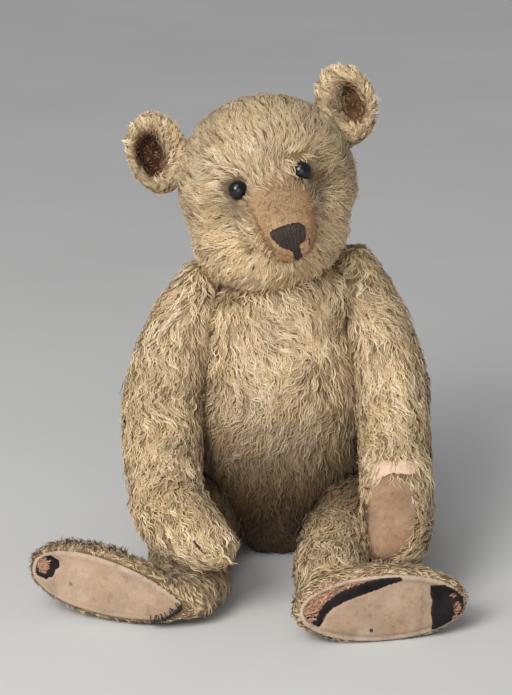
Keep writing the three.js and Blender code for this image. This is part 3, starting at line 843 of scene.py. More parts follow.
EYES = {"right": (-20.5, 12.2), "left": (20.5, 12.2)}
SEAM = [(-18.1, 5.2), (-16.7, 0.3), (-15.8, -4.9), (-15.4, -10.4), (-15.1, -15.1), (-13.6, -20.0), (-11.4, -25)]

SEAM_R = [(17.8, 5), (18.7, -0.5), (19.3, -7.6), (19.9, -18.6), (20, -31.9)]


def head_shape(v):
    v = push_to(v, JOINT["neck"]["p"], JOINT["neck"]["a"], GAP)
    x, f, z = to_head(v)
    front = sstep(20, 32, f)
    for ex, ez in EYES.values():
        r = np.hypot(x - ex, z - ez)
        v = v - np.outer(front * 0.6 * np.exp(-(r / 8.0) ** 2), HF)
    return v


def with_seam(v):
    x, f, z = to_head(v)
    d = line_dist(x, z, SEAM)
    return v - np.outer(sstep(30, 40, f) * 0.9 * np.exp(-(d / 1.1) ** 2), unit(HF * 0.6 + np.array([-0.5, 0, 0])))


torso = Skin("torso_skin", [limb(TORSO, UPX, 3.0, 2.25)] + [cap(JOINT[k], -1, JOINT[k]["body"], JOINT[k]["depth"]) for k in ("shoulder_right", "shoulder_left")], 3.8, 6, torso_shape)
arms, legs = {}, {}
for sd in ("right", "left"):
    arms[sd] = Skin(f"arm_{sd}_skin", [limb(ARM[sd], UPX, 4.2)], 3.4, 5, arm_shape(sd))
    legs[sd] = Skin(f"leg_{sd}_skin", [limb(LEG[sd], UPX, 4.0), cap(JOINT["hip_" + sd], 1, JOINT["hip_" + sd]["limb"], JOINT["hip_" + sd]["depth"]), foot_form(sd)], 3.0, 4, leg_shape(sd))
muz = [[*H(m[0], m[1], m[2]), m[3], m[4]] for m in MUZZLE]
head = Skin("head_skin", [ball(H(0.8, -2, 3), HX, HZ, HF, [56, 53.5, 51]), ball(H(-4.6, 2, -23.2), HX, HZ, HF, [49, 43.6, 44]), limb(muz, HX, 4, 2.2)], 2.2, 12, head_shape)
head.refresh()


# ------------------------------------------------------------------ tubes and sheets
def tube(path, radius, sides=7, taper=0.35):
    """Closed round thread along points (n, 3); radius may be one number or one a point."""
    path = np.asarray(path, float)
    n = len(path)
    r = np.broadcast_to(np.asarray(radius, float), (n,)).copy()
    t = unit(np.gradient(path, axis=0))
    a = unit(np.cross(t[0], [0.31, 0.77, 0.55]))
    rings = [np.repeat(path[:1] - t[:1] * r[0] * taper, sides, 0)]
    ph = np.linspace(0, 2 * math.pi, sides, endpoint=False)
    for i in range(n):
        a = unit(a - t[i] * (a @ t[i]))
        b = np.cross(t[i], a)
        rings.append(path[i] + (np.outer(np.cos(ph), a) + np.outer(np.sin(ph), b)) * r[i])
    rings.append(np.repeat(path[-1:] + t[-1:] * r[-1] * taper, sides, 0))
    return grid_form(np.array(rings))


def sheet_2d(sdf, box, res, keep=0.55):
    """Triangle-free grid of the region where sdf < 0, with its edge drawn onto the outline."""
    a0, b0, a1, b1 = box
    na, nb = int((a1 - a0) / res) + 1, int((b1 - b0) / res) + 1
    a, b = np.meshgrid(a0 + np.arange(na) * res, b0 + np.arange(nb) * res, indexing="ij")
    s = sdf(a, b)
    e = res * 0.5
    ga, gb = (sdf(a + e, b) - sdf(a - e, b)) / (2 * e), (sdf(a, b + e) - sdf(a, b - e)) / (2 * e)
    g2 = np.maximum(ga ** 2 + gb ** 2, 0.25)
    near = np.abs(s) < keep * res
    a = np.where(near, a - s * ga / g2, a)
    b = np.where(near, b - s * gb / g2, b)
    inside = s < keep * res
    q = inside[:-1, :-1] & inside[1:, :-1] & inside[1:, 1:] & inside[:-1, 1:]
    i, j = np.nonzero(q)
    idx = lambda x, y: x * nb + y
    quads = np.stack([idx(i, j), idx(i + 1, j), idx(i + 1, j + 1), idx(i, j + 1)], -1)
    used, inv = np.unique(quads, return_inverse=True)
    return a.ravel()[used], b.ravel()[used], np.where(near, 0, s).ravel()[used], inv.reshape(-1, 4)


def close_sheet(top, bottom, quads):
    """Two copies of a sheet joined round every edge."""
    n = len(top)
    e = np.concatenate([quads[:, [k, (k + 1) % 4]] for k in range(4)])
    key = e[:, 0] * n + e[:, 1]
    back = e[:, 1] * n + e[:, 0]
    rim = e[~np.isin(key, back)]
    walls = np.stack([rim[:, 1], rim[:, 0], rim[:, 0] + n, rim[:, 1] + n], -1)
    return np.concatenate([top, bottom]), np.concatenate([quads, quads[:, ::-1] + n, walls])


def outward(ob):
    """Makes every face of a closed mesh look out."""
    me = ob.data
    me.calc_loop_triangles()
    v = coords(me)
    t = np.zeros(len(me.loop_triangles) * 3, np.int32)
    me.loop_triangles.foreach_get("vertices", t)
    t = t.reshape(-1, 3)
    a, b, c = (v[t[:, k]] for k in range(3))
    if (a * np.cross(b, c)).sum() < 0:
        me.flip_normals()
    me.update()
    return ob


def felt(name, body, mat, slot, sdf, box, res, place, rgb, nodes=(), thick=1.4, hem=0.5, rough=0.12, seed=1, pattern=None, roll=None):
    """Cut piece of felt. place(a, b, h) puts it in space, h over the sheet's underside."""
    a, b, s, quads = sheet_2d(sdf, box, res)
    puff = 1 - np.exp(np.minimum(s, 0) / 1.1)
    h = thick * (hem + (1 - hem) * puff) + rough * vn2(a, b, 2.3, seed) * puff + 0.6 * rough * vn2(a, b, 7, seed + 1)
    if roll is not None:
        h = h + roll(a, b)
    top, bottom = place(a, b, h), place(a, b, np.zeros_like(h))
    verts, faces = close_sheet(top, bottom, quads)
    ob = outward(make_mesh(name, verts, faces))
    c = rgb(a, b, s)
    # painted shade: the underside is coloured 0.6 as bright as the top, so the cut edge also darkens towards the bottom
    colour(ob, np.concatenate([c, c * 0.6]))
    put(ob, body, mat, slot, *nodes)
    # the size it was cut to comes from the flat pattern, before it is laid on the bear
    if pattern is None:
        pattern = (np.ptp(a), np.ptp(b))
    return ob


def noisy(f, amp, scale, seed=3):
    return lambda a, b: f(a, b) + amp * vn2(a, b, scale, seed)


# ------------------------------------------------------------------ soles
def sole_place(side, base):
    c, t, n, u, f = foot_frame(side)

    def g(a, b, h):
        crown = 1.3 * np.clip(1 - (a / f["half"]) ** 2, 0, 1) * np.clip(1 - (b / (f["toeH"] + 2)) ** 2, 0, 1)
        return c + np.multiply.outer(a, t) + np.multiply.outer(b, u) + np.multiply.outer(base + h + crown, n)
    return g


BEIGE, DUST = np.array([0.415, 0.280, 0.190]), np.array([0.465, 0.350, 0.262])
BLACKF = np.array([0.0095, 0.0082, 0.0090])

RIGHT_HOLE = [(50.5, 2.5), (49.5, 8), (45, 10.8), (39, 10.2), (33.2, 8.6), (31.6, 4.5), (34.2, 1.4), (35.2, -3), (39.5, -6), (44.5, -5.2), (48, -2.5)]
HEEL_GAP = [(-47.2, 3.5), (-45.2, -1.4), (-41.8, -5.6), (-37, -9.4), (-31, -12.2), (-29, -15.4), (-37, -14.4), (-43, -10.8), (-47.4, -5), (-49.8, 2)]
LEFT_TORN = [(-52, 9), (-49, 1), (-45, -5.5), (-39.5, -9.5), (-36.5, -6), (-35, -1.5), (-31.5, 3.0), (-26, 7.2), (-19, 10.2), (-11, 12.8), (-3, 15.2), (6, 17.2), (13, 18.4), (13, 26), (-52, 26)]
TOE_BOX = [(28.6, 13.0), (34, 12.4), (39, 12.2), (44, 9.5), (48.5, 4.5), (50.2, -3), (49.0, -10), (45.5, -14.6), (39.5, -17.4), (33, -18.2), (29.4, -17.6), (30.2, -10), (29.0, -4), (29.9, 3), (28.4, 8)]


def right_pad(a, b):
    rim = poly_sdf(a, b, sole_outline("right", 3.0))
    s = np.maximum(rim, -np.maximum(poly_sdf(a, b, RIGHT_HOLE) - 0.35 * vn2(a, b, 1.6, 8), rim + 2.1))
    return np.maximum(s, -poly_sdf(a, b, HEEL_GAP) + 0.2 * vn2(a, b, 1.4, 9))


def left_pad(a, b):
    rim = poly_sdf(a, b, sole_outline("left", 2.2))
    s = np.maximum(rim, -poly_sdf(a, b, UNDER_HOLE["left"]) + 0.3 * vn2(a, b, 1.6, 11))
    return np.maximum(s, -np.maximum(poly_sdf(a, b, LEFT_TORN) - 0.6 * vn2(a, b, 1.7, 10), rim + 2.3 + 0.3 * vn2(a, b, 4, 12)))


def left_roll(a, b):
    rim = poly_sdf(a, b, sole_outline("left", 2.2))
    return 0.5 * np.exp(-((rim + 1.3) / 1.0) ** 2) - 0.42 * np.exp(-((rim + 3.3) / 0.8) ** 2)


def sole_rgb(seed, side, spot=None, line=None):
    def g(a, b, s):
        t = 0.5 + 0.5 * vn2(a, b, 16, seed)
        c = mix(BEIGE, DUST, t[:, None])
        rim = poly_sdf(a, b, sole_outline(side, 2.2 if side == "left" else 3.0))
        c = c * (1 - (0.38 if side == "left" else 0.10) * np.exp(-((rim + 3.3) / 0.9) ** 2))[:, None]
        c = mix(c, np.array([0.60, 0.49, 0.39]), (0.8 if side == "left" else 0.45) * np.exp(-(rim / 2.2) ** 2)[:, None])
        c = mix(c, np.array([0.55, 0.45, 0.35]), 0.6 * np.exp(-(s / 0.9) ** 2)[:, None])
        grime = np.clip(vn2(a, b, 5, seed + 2) * 1.3 - 0.35, 0, 1)
        c = c * (1 - 0.28 * grime[:, None])
        if spot is not None:
            c = c * (1 - 0.75 * np.exp(-((a - spot[0]) ** 2 + (b - spot[1]) ** 2) / 1.6))[:, None]
        if line is not None:
            c = c * (1 - 0.22 * np.exp(-((a - line - 0.7 * np.sin(b * 0.9)) / 0.7) ** 2))[:, None]
        return c
    return g


def dark_rgb(seed, rim=None):
    def g(a, b, s):
        c = BLACKF * (1 + 0.8 * (0.5 + 0.5 * vn2(a, b, 4, seed)))[:, None]
        fuzz = np.exp(-np.abs(s) / 0.8) * (0.5 + 0.5 * vn2(a, b, 1.7, seed + 1))
        return mix(c, np.array([0.045, 0.032, 0.028]), fuzz[:, None])
    return g


UNDER_HOLE = {"right": [(46.5, 5.5), (43.8, 7.2), (40.6, 6.0), (39.4, 2.5), (41.0, -0.4), (42.6, -3.6), (45.2, -2.6), (46.9, 1.6)],
              "left": [(49.6, 4.5), (45.5, 8.2), (39.2, 8.4), (37.0, 4.2), (40.0, -3.8), (44.5, -9.8), (48.8, -8.8), (50.0, -1.5)]}
TORN_REGION = [(-47.5, 6), (-45.5, -2), (-41, -6.5), (-37.8, 0.5), (-33, 5.0), (-26, 9.0), (-17.5, 12), (-8, 14.8), (0, 17), (0, 19.5), (-10, 19.2), (-22, 18.2), (-34, 15.6), (-43, 11.5)]


def underfelt(side):
    def f(a, b):
        s = poly_sdf(a, b, sole_outline(side, 4.2))
        s = np.maximum(s, -poly_sdf(a, b, UNDER_HOLE[side]) + 0.5 * vn2(a, b, 1.8, 8))
        if side == "left":
            s = np.maximum(s, -poly_sdf(a, b, TORN_REGION) + 0.4 * vn2(a, b, 2.0, 9))
        return s
    return f


for sd in ("right", "left"):
    # older black felt under the beige one; it shows in the holes
    felt(f"foot_{sd}_underfelt", f"leg_{sd}", M_BLACK, "black_felt",
         underfelt(sd), (-55, -26, 55, 26), 1.7, sole_place(sd, -SOLE_IN - 0.1), dark_rgb(5), (f"foot_underpad_{sd}",), 1.5)
felt("foot_right_pad", "leg_right", M_FELT, "beige_felt", right_pad, (-54, -27, 54, 27), 1.05, sole_place("right", -0.9), sole_rgb(31, "right", spot=(22.5, -3.5)), ("foot_pad_right",), 1.9, 0.35, 0.16)
felt("foot_left_pad", "leg_left", M_FELT, "beige_felt", left_pad, (-55, -27, 55, 27), 1.05, sole_place("left", -0.9), sole_rgb(37, "left", line=23.6), ("foot_pad_left",), 1.9, 0.35, 0.16, roll=left_roll)
def toe_patch(a, b):
    s = np.maximum(poly_sdf(a, b, TOE_BOX), poly_sdf(a, b, sole_outline("left", 2.2)) + 1.5) + 0.3 * vn2(a, b, 1.5, 12)
    for c0, c1, ra, rb, sdn in ((45.4, -1.8, 2.9, 4.0, 14), (42.2, 5.6, 2.6, 1.7, 15), (44.4, -8.0, 1.7, 2.3, 16)):
        hole = (np.hypot((a - c0) / ra, (b - c1) / rb) - 1) * min(ra, rb)
        s = np.maximum(s, -hole + 0.35 * vn2(a, b, 1.2, sdn))
    return s


felt("foot_left_toe_patch", "leg_left", M_BLACK, "black_felt", toe_patch, (26, -23, 54, 16), 0.65, sole_place("left", 0.95), dark_rgb(17), (), 1.25, 0.6, 0.14)

BAND_LINE = [(-40.5, -6.5), (-37.8, 0.0), (-33.0, 4.6), (-26.0, 8.6), (-17.5, 11.6), (-8, 14.2), (1, 16.4), (9.5, 17.6)]


# a curved strip, 7.5 mm at its widest; 10 mm is the least width a sheet may be declared with
BAND_LENGTH = float(np.linalg.norm(np.diff(np.array(BAND_LINE), axis=0), axis=1).sum()) + 6.0
BAND_WIDTH = 10.0


def band(a, b):
    width = np.interp(a, [-42, -36, -26, -14, -2, 10], [1.4, 2.9, 3.6, 3.6, 3.2, 1.6])
    return line_dist(a, b, BAND_LINE) - width + 0.45 * np.abs(np.mod(a * 0.55 + 0.3 * b, 2) - 1) + 0.25 * vn2(a, b, 1.3, 19)


felt("foot_left_torn_band", "leg_left", M_BLACK, "black_felt", band, (-46, -12, 16, 24), 0.6, sole_place("left", 0.15), dark_rgb(21), (), 1.3, 0.5, 0.2, pattern=(BAND_LENGTH, BAND_WIDTH))


# ------------------------------------------------------------------ wood shavings in the torn sole
def shavings(name, body, place, region, n, box, seed, size=1.0):
    rng = np.random.default_rng(seed)
    parts = []
    while len(parts) < n:
        a, b = rng.uniform(box[0], box[2]), rng.uniform(box[1], box[3])
        if region(np.array([a]), np.array([b]))[0] > -0.3:
            continue
        lg, ang, bend = rng.uniform(6, 15) * size, rng.normal(0.50, 0.42), rng.normal(0, 0.16)
        s = np.linspace(-0.5, 0.5, 7)
        ca = a + lg * s * math.cos(ang) - bend * lg * (s * 2) ** 2 * math.sin(ang)
        cb = b + lg * s * math.sin(ang) + bend * lg * (s * 2) ** 2 * math.cos(ang)
        hh = rng.uniform(0.2, 2.2) + 0.5 * np.sin(s * 9 + rng.uniform(0, 6))
        path = place(ca, cb, hh)
        w = rng.uniform(0.25, 0.55)
        tdir = unit(np.gradient(path, axis=0))
        up = unit(place(np.array([a]), np.array([b]), np.array([1.0])) - place(np.array([a]), np.array([b]), np.array([0.0])))[0]
        tw = rng.uniform(-0.9, 0.9) + s * rng.uniform(-2, 2)
        sv = unit(np.cross(tdir, up))
        ov = unit(np.cross(sv, tdir))
        ax = sv * np.cos(tw)[:, None] + ov * np.sin(tw)[:, None]
        bx = np.cross(tdir, ax)
        ring = lambda i: [path[i] + ax[i] * w + bx[i] * 0.09, path[i] - ax[i] * w + bx[i] * 0.09, path[i] - ax[i] * w - bx[i] * 0.09, path[i] + ax[i] * w - bx[i] * 0.09]
        v = np.array([q for i in range(7) for q in ring(i)])
        f = [(0, 1, 2, 3)] + [(4 * i + k, 4 * i + 4 + k, 4 * i + 4 + (k + 1) % 4, 4 * i + (k + 1) % 4) for i in range(6) for k in range(4)] + [(27, 26, 25, 24)]
        parts.append((v, f))
    ob = make_mesh(name, *joined(parts), smooth=False)
    return put(ob, body, M_SHAV, "excelsior")


shavings("foot_left_shavings", "leg_left", sole_place("left", -2.0), lambda a, b: poly_sdf(a, b, TORN_REGION), 210, (-48, -7, 1, 20), 5)
shavings("foot_left_toe_shavings", "leg_left", sole_place("left", -1.4), lambda a, b: poly_sdf(a, b, UNDER_HOLE["left"]) + 1.0, 46, (36, -11, 51, 9), 6, 0.6)
shavings("foot_right_toe_shavings", "leg_right", sole_place("right", -2.6), lambda a, b: poly_sdf(a, b, UNDER_HOLE["right"]) + 0.8, 34, (38.5, -5, 47.5, 8), 7, 0.6)

# whip stitches and knots on the soles
parts = []
place = sole_place("right", 0.9)
rng = np.random.default_rng(9)
HEEL_LINE = np.array([(-47.8, 2.4), (-46.0, -1.6), (-43.2, -5.4), (-39.8, -8.6), (-36.0, -11.0), (-32.0, -12.6)])
for k in range(13):
    x = k / 12 * (len(HEEL_LINE) - 1.001)
    i = int(x)
    m = HEEL_LINE[i] * (1 - x + i) + HEEL_LINE[i + 1] * (x - i)
    tdir = unit(HEEL_LINE[i + 1] - HEEL_LINE[i])
    nd = np.array([-tdir[1], tdir[0]])
    if nd[0] < 0:
        nd = -nd
    nd = unit(nd + tdir * rng.normal(0, 0.25))
    s = np.linspace(-1.0, 3.8 + rng.uniform(-0.8, 1.2), 7)
    parts.append(tube(place(m[0] + nd[0] * s, m[1] + nd[1] * s, 0.55 + 0.5 * np.cos(np.linspace(-1.4, 1.4, 7))), np.linspace(0.36, 0.22, 7)))
s = np.linspace(0, 1, 14)
hl = np.stack([np.interp(s * 5, np.arange(6), HEEL_LINE[:, k]) for k in (0, 1)], -1)
parts.append(tube(place(hl[:, 0], hl[:, 1], 0.1 + 0 * s), 0.5))
put(outward(make_mesh("heel_darning", *joined(parts))), "leg_right", M_DARK, "dark_thread", "heel_darning_right")
place = sole_place("left", 0.95)
t = np.linspace(0, 2 * math.pi * 1.6, 22)
put(outward(make_mesh("sole_knot", *tube(place(-7.7 + 0.7 * np.cos(t), -12.7 + 0.8 * np.sin(t), 0.5 + 0.06 * t), 0.3))), "leg_left", M_DARK, "dark_thread")


# ------------------------------------------------------------------ arm pads
def paw_place(side, base):
    pw = PAW[side]
    c, n = np.array(pw["c"], float), unit(pw["n"])
    u = np.array(pw["along"], float)
    u = unit(u - n * (u @ n))
    v = np.cross(n, u)
    skin = arms[side]

    def g(a, b, h):
        out = []
        for x, y in zip(a, b):
            o = c + u * x + v * y + n * 60
            p, q = skin.hit(o, -n)
            if p is None:
                p = c + u * x + v * y + n * 15
            out.append(p)
        out = np.array(out)
        return out + np.multiply.outer(base + h, n)
    return g, (c, n, u, v)


def pad_rgb(a, b, s):
    c = mix(np.array([0.32, 0.195, 0.118]), np.array([0.41, 0.268, 0.170]), np.clip(0.5 + 0.5 * vn2(a, b, 9, 41) + 0.55 * vn2(a, b, 1.9, 43), 0, 1)[:, None])
    edge = np.exp(-np.abs(s) / 1.4)
    return c * (1 - 0.18 * edge[:, None])


LEFT_PAD = [(-27.8, -14), (-31.7, -8.4), (-32.2, -1.8), (-30, 4.9), (-24.5, 9.6), (-16, 11.9), (-5.7, 12.0), (4.3, 10.8), (13.7, 8.4), (20.6, 4.2), (24.2, -2.0), (24.4, -8.5), (21.6, -14.0), (15.5, -18.0), (6, -20.2), (-5, -20.6), (-15, -19.6), (-22.6, -17.6)]
g, left_frame = paw_place("left", -0.3)
felt("paw_left_pad", "arm_left", M_FELT, "beige_felt", lambda a, b: poly_sdf(a, b, LEFT_PAD) + 0.28 * vn2(a, b, 1.5, 44), (-35, -24, 28, 16), 1.1, g, pad_rgb, ("paw_pad_left",), 1.5, 0.4, 0.08)
g, right_frame = paw_place("right", -0.3)
felt("paw_right_pad", "arm_right", M_FELT, "beige_felt", lambda a, b: (np.hypot(a / 23, b / 15) - 1) * 15, (-25, -17, 25, 17), 1.5, g, pad_rgb, ("paw_pad_right",), 1.5, 0.4, 0.08)
REMNANT = [(-43.6, -14.5), (-42.2, -11.5), (-43.9, -9.1), (-42.9, -3.2), (-41.6, 0.6), (-43.5, 4.3), (-43.4, 9.9), (-41.1, 13.1), (-34.2, 12.7), (-32.4, 8.1), (-33.2, 2.5), (-33.0, -3.0), (-31.2, -8.6), (-27.4, -13.3), (-23.4, -17.0), (-24.6, -19.4), (-30.4, -18.2), (-34.2, -15.6), (-38.6, -16.8)]
g, _ = paw_place("left", 0.15)


def cloth_rgb(a, b, s):
    c = mix(np.array([0.70, 0.47, 0.35]), np.array([0.84, 0.64, 0.50]), (0.5 + 0.5 * vn2(a, b, 3.2, 51))[:, None])
    return c * (1 - 0.35 * np.exp(-((a + 31 + 0.1 * b) / 0.8) ** 2))[:, None]


felt("paw_left_cloth_scrap", "arm_left", M_FELT, "pink_cloth", lambda a, b: poly_sdf(a, b, REMNANT) + 0.45 * vn2(a, b, 1.6, 46), (-47, -22, -20, 16), 0.7, g, cloth_rgb, ("paw_cloth_remnant_left",), 1.0, 0.5, 0.18)

# stitches round the left pad
c0, n0, u0, v0 = left_frame
parts = []
lp = np.array(LEFT_PAD)
for k in range(0, 40):
    x = k / 40 * len(lp)
    i = int(x)
    m = lp[i] * (1 - x + i) + lp[(i + 1) % len(lp)] * (x - i)
    nd = unit(m)
    s = np.linspace(-1.4, 1.0, 5)
    g, _ = paw_place("left", 0.9)
    parts.append(tube(g(m[0] + nd[0] * s, m[1] + nd[1] * s, np.array([0.0, 0.25, 0.1, -0.4, -0.9])), 0.22, 5))
put(outward(make_mesh("paw_left_stitches", *joined(parts))), "arm_left", thread_material("pad_thread", (0.22, 0.13, 0.07), (0.5, 0.35, 0.22)), "dark_thread")


# ------------------------------------------------------------------ ears
EAR = {"right": (H(-60.8, -5, 38.4), 18.5, -4.4), "left": (H(62.3, -5, 33.5), 18.5, 5.2)}
EAR_Z = 26.0
HOLLOW = {"right": (8.6, 15.5), "left": (6.8, 13.2)}


def ear_mesh(c, rx, ox, depth=8.5, seg=60, nr=20):
    """Cupped ear: a deep narrow hollow set off to the outer side, inside a thick soft rim."""
    ph = np.linspace(0, 2 * math.pi, seg, endpoint=False)
    rings = []
    fronts = np.linspace(0, 1, nr)
    for r in fronts:
        cup = -6.6 + 8.6 * sstep(0.22, 0.64, r) - 2.0 * sstep(0.78, 1.0, r)
        wob = 1 + 0.025 * np.sin(3 * ph + 1)
        rings.append(c + HX * ox * (1 - r * r) + np.outer(np.cos(ph) * rx * max(r, 1e-4) * wob, HX) + np.outer(np.sin(ph) * EAR_Z * max(r, 1e-4) * wob, HZ) + HF * cup)
    for r in fronts[::-1][1:]:
        back = -depth * (1 - r ** 2.4) ** 0.62 - 0.2
        rings.append(c + np.outer(np.cos(ph) * rx * max(r, 1e-4), HX) + np.outer(np.sin(ph) * EAR_Z * max(r, 1e-4), HZ) + HF * back)
    return grid_form(np.array(rings))


def ear_ring(sd, p):
    """Which ring of the ear's front a point is on, 0 in the hollow and 1 at the edge."""
    c, rx, ox = EAR[sd]
    q = p - c
    ex, ez = q @ HX, q @ HZ
    r = np.hypot(ex / rx, ez / EAR_Z)
    for _ in range(6):
        r = 0.5 * r + 0.5 * np.hypot((ex - ox * np.maximum(1 - r * r, 0)) / rx, ez / EAR_Z)
    return r, ex, ez


ears = {}
for sd in ("right", "left"):
    c, rx, ox = EAR[sd]
    sk = Skin.__new__(Skin)
    sk.ob = outward(make_mesh(f"ear_{sd}_skin", *ear_mesh(c, rx, ox)))
    sk.refresh()
    ears[sd] = sk

# ------------------------------------------------------------------ skin colours
# painted shade: DEEP and MID give the ground cloth under the pile a dark olive-brown, standing for the shade deep in
# the pile between the roots
DEEP, MID = np.array([0.165, 0.114, 0.061]), np.array([0.36, 0.259, 0.148])
for nm, sk, body, node in [("torso", torso, "torso", "torso_cover")] + [(f"arm_{s}", arms[s], f"arm_{s}", f"arm_{s}_cover") for s in arms] + [(f"leg_{s}", legs[s], f"leg_{s}", f"leg_{s}_cover") for s in legs]:
    t = np.clip(0.5 + 0.8 * vn(sk.v, 6, 3), 0, 1)
    colour(sk.ob, mix(DEEP, MID, t[:, None]))
    put(sk.ob, body, M_SKIN, "mohair", node)

NOSE_ST = [(-10.4, 5), (-3.7, 6.6), (3.4, 6.9), (7.6, 6), (10.4, 3.3), (11, -0.6), (10.4, -4.4), (8.2, -6), (5, -6.6), (4.6, -12), (-0.4, -12), (-1.2, -8.4), (-5.4, -6.6), (-8.6, -3.6), (-10.2, 0.4)]
NOSE_LOST = [(11.4, -3.2), (12.6, -8), (11.6, -14), (8, -19.5), (4.2, -19), (5.0, -12), (5.2, -6.4), (8.4, -5.6)]
NOSE_Z = -15.8
BARE = [(-12.3, 7.6), (-8.2, 9.6), (-2.4, 11.2), (3.7, 11.9), (9.2, 11.2), (13.0, 8.8), (16.0, 6.6), (18.2, 4.3), (19.5, -0.4), (20, -8.2), (19.5, -19), (17.5, -29), (12.5, -35.5), (5.5, -37.5), (-2, -36), (-8.5, -31), (-12.6, -25.5), (-14.1, -20.7), (-16.1, -15.4), (-16.9, -8.3), (-17.1, -0.8), (-16.2, 6.2)]


def bare_dist(p):
    x, f, z = to_head(p)
    s = poly_sdf(x, z, BARE)
    return np.where(f > 22, s, np.maximum(s, 10) + (22 - f) * 0.6)


x, f, z = to_head(head.v)
bd = bare_dist(head.v)
bare = 1 - sstep(-4.0, 5.0, bd + 3.6 * vn(head.v, 4.0, 7))
cloth = mix(np.array([0.53, 0.345, 0.205]), np.array([0.62, 0.44, 0.285]), np.clip(0.5 + 0.8 * vn(head.v, 7, 13), 0, 1)[:, None])
orange = np.array([0.64, 0.355, 0.165])
side_or = sstep(5, 15, x) * sstep(8, -8, z) * 0.75 + sstep(-9, -15, x) * sstep(2, -14, z) * 0.6 + sstep(-22, -29, z) * 0.55
cloth = mix(cloth, orange, np.clip(side_or * (0.75 + 0.4 * vn(head.v, 5, 15)), 0, 1)[:, None])
olive = np.exp(-((x - 2) / 11) ** 2 - ((z - 4) / 8) ** 2)
cloth = mix(cloth, np.array([0.42, 0.30, 0.18]), 0.45 * olive[:, None])
lost = 1 - sstep(-0.8, 0.6, poly_sdf(x, z - NOSE_Z, NOSE_LOST))
lost = lost * (f > 40)
cloth = mix(cloth, np.array([0.80, 0.46, 0.32]), lost[:, None])
t = np.clip(0.5 + 0.8 * vn(head.v, 5, 3), 0, 1)
# painted shade: the head's ground under the pile takes the same dark olive-brown as the body's
ground = mix(DEEP, MID, t[:, None])
ground = mix(ground, MID * 1.25, (0.7 * sstep(16, 2, bd) * (f > 20))[:, None])
col = mix(ground, cloth, bare[:, None])
seam_r = line_dist(x, z, SEAM_R)
col = mix(col, orange * 0.92, (0.75 * np.exp(-(seam_r / 2.0) ** 2) * (f > 25))[:, None])
seam_d = line_dist(x, z, SEAM)
col = col * (1 - 0.72 * (np.exp(-(seam_d / 0.8) ** 2) * (f > 30)))[:, None]
col = col * (1 - 0.6 * np.exp(-(line_dist(x, z, [(-13, -14), (-11.5, -20), (-7, -26), (-1, -29.5)]) / 0.7) ** 2) * (f > 40))[:, None]
# painted shade: the ground darkens round each eye, for the shade in the eye sockets
for ex, ez in EYES.values():
    r = np.hypot(x - ex, z - ez)
    col = col * (1 - 0.80 * np.exp(-(r / 6.4) ** 6) * (f > 20))[:, None]
colour(head.ob, col)
number(head.ob, "Speck", np.clip(0.42 + 1.0 * olive + 0.45 * vn(head.v, 6, 17) + 0.35 * lost, 0, 1) * np.clip(bare * 1.2, 0, 1))
put(head.ob, "head", M_FACE, "mohair", "head_cover")
for sd in ("right", "left"):
    sk = ears[sd]
    rr, ex, ez = ear_ring(sd, sk.v)
    rn = 0.5 * np.hypot((ex - EAR[sd][2]) / HOLLOW[sd][0], ez / HOLLOW[sd][1])
    hollow = (1 - sstep(0.36, 0.66, rn + 0.13 * vn(sk.v, 4, 5))) * ((sk.v - EAR[sd][0]) @ HF > -7.5)
    t = np.clip(0.5 + 0.8 * vn(sk.v, 5, 3), 0, 1)
    # painted shade: the ear's hollow gets a near-black ground, darker on the right ear, for the shade in the cup
    deep = np.array([0.050, 0.021, 0.013]) if sd == "right" else np.array([0.10, 0.055, 0.026])
    c = mix(mix(DEEP, MID, t[:, None]), deep * (0.7 + 0.6 * t)[:, None], hollow[:, None])
    colour(sk.ob, c)
    put(sk.ob, "head", M_SKIN, "ear_mohair", f"ear_{sd}")

# ------------------------------------------------------------------ eyes, nose, mouth, claws
for sd, (ex, ez) in EYES.items():
    c = H(ex, 45.5 if sd == "right" else 44.5, ez)
    ob = outward(make_mesh(f"eye_{sd}_button", *ball(c, HX, HZ, HF, [6.2, 6.2, 5.2], 56, 36)))
    put(ob, "head", M_EYE, "boot_button", f"eye_{sd}")

parts = []
rng = np.random.default_rng(3)
ns = np.array(NOSE_ST)


def nose_span(xx):
    zs = []
    for k in range(len(ns)):
        (xa, za), (xb, zb) = ns[k], ns[(k + 1) % len(ns)]
        if (xa - xx) * (xb - xx) <= 0 and xa != xb:
            zs.append(za + (zb - za) * (xx - xa) / (xb - xa))
    return (min(zs), max(zs)) if len(zs) >= 2 else None


def on_face(xx, zz, lift):
    p, q = head.hit(H(xx, 130, zz), -HF)
    return p + unit(q) * lift


for k, xx in enumerate(np.arange(-10.2, 10.9, 0.92)):
    sp = nose_span(xx)
    if sp is None or sp[1] - sp[0] < 1.0:
        continue
    lo, hi = sp
    lo, hi = lo + rng.normal(0, 0.25), hi + rng.normal(0, 0.18)
    m = 16
    zz = np.linspace(hi, lo, m)
    lean = 0.10 * (xx / 12) * (hi - zz)
    jit = rng.normal(0, 0.10)
    path = np.array([on_face(xx - lean[i] * 2.2 + jit, NOSE_Z + zz[i], 0.62 + 0.16 * math.sin(k * 2.1 + i * 0.2)) for i in range(m)])
    path[0] = on_face(xx, NOSE_Z + zz[0] + 0.4, -0.3)
    path[-1] = on_face(xx - lean[-1] * 2.2, NOSE_Z + zz[-1] - 0.3, -0.3)
    parts.append(tube(path, 0.60 + rng.uniform(-0.05, 0.06), 8))
for k in range(5):                         # gathered ends below the nose
    zz = np.linspace(-9, -17.5 + 1.1 * abs(k - 2) + 0.6 * (k % 2), 12)
    path = np.array([on_face(0.1 + 0.95 * k + 0.35 * math.sin(q + k), NOSE_Z + q, 0.5) for q in zz])
    parts.append(tube(path, 0.5, 7))
put(outward(make_mesh("nose_threads", *joined(parts))), "head", M_NOSE, "dark_thread", "nose_stitching", "mouth_stitch")
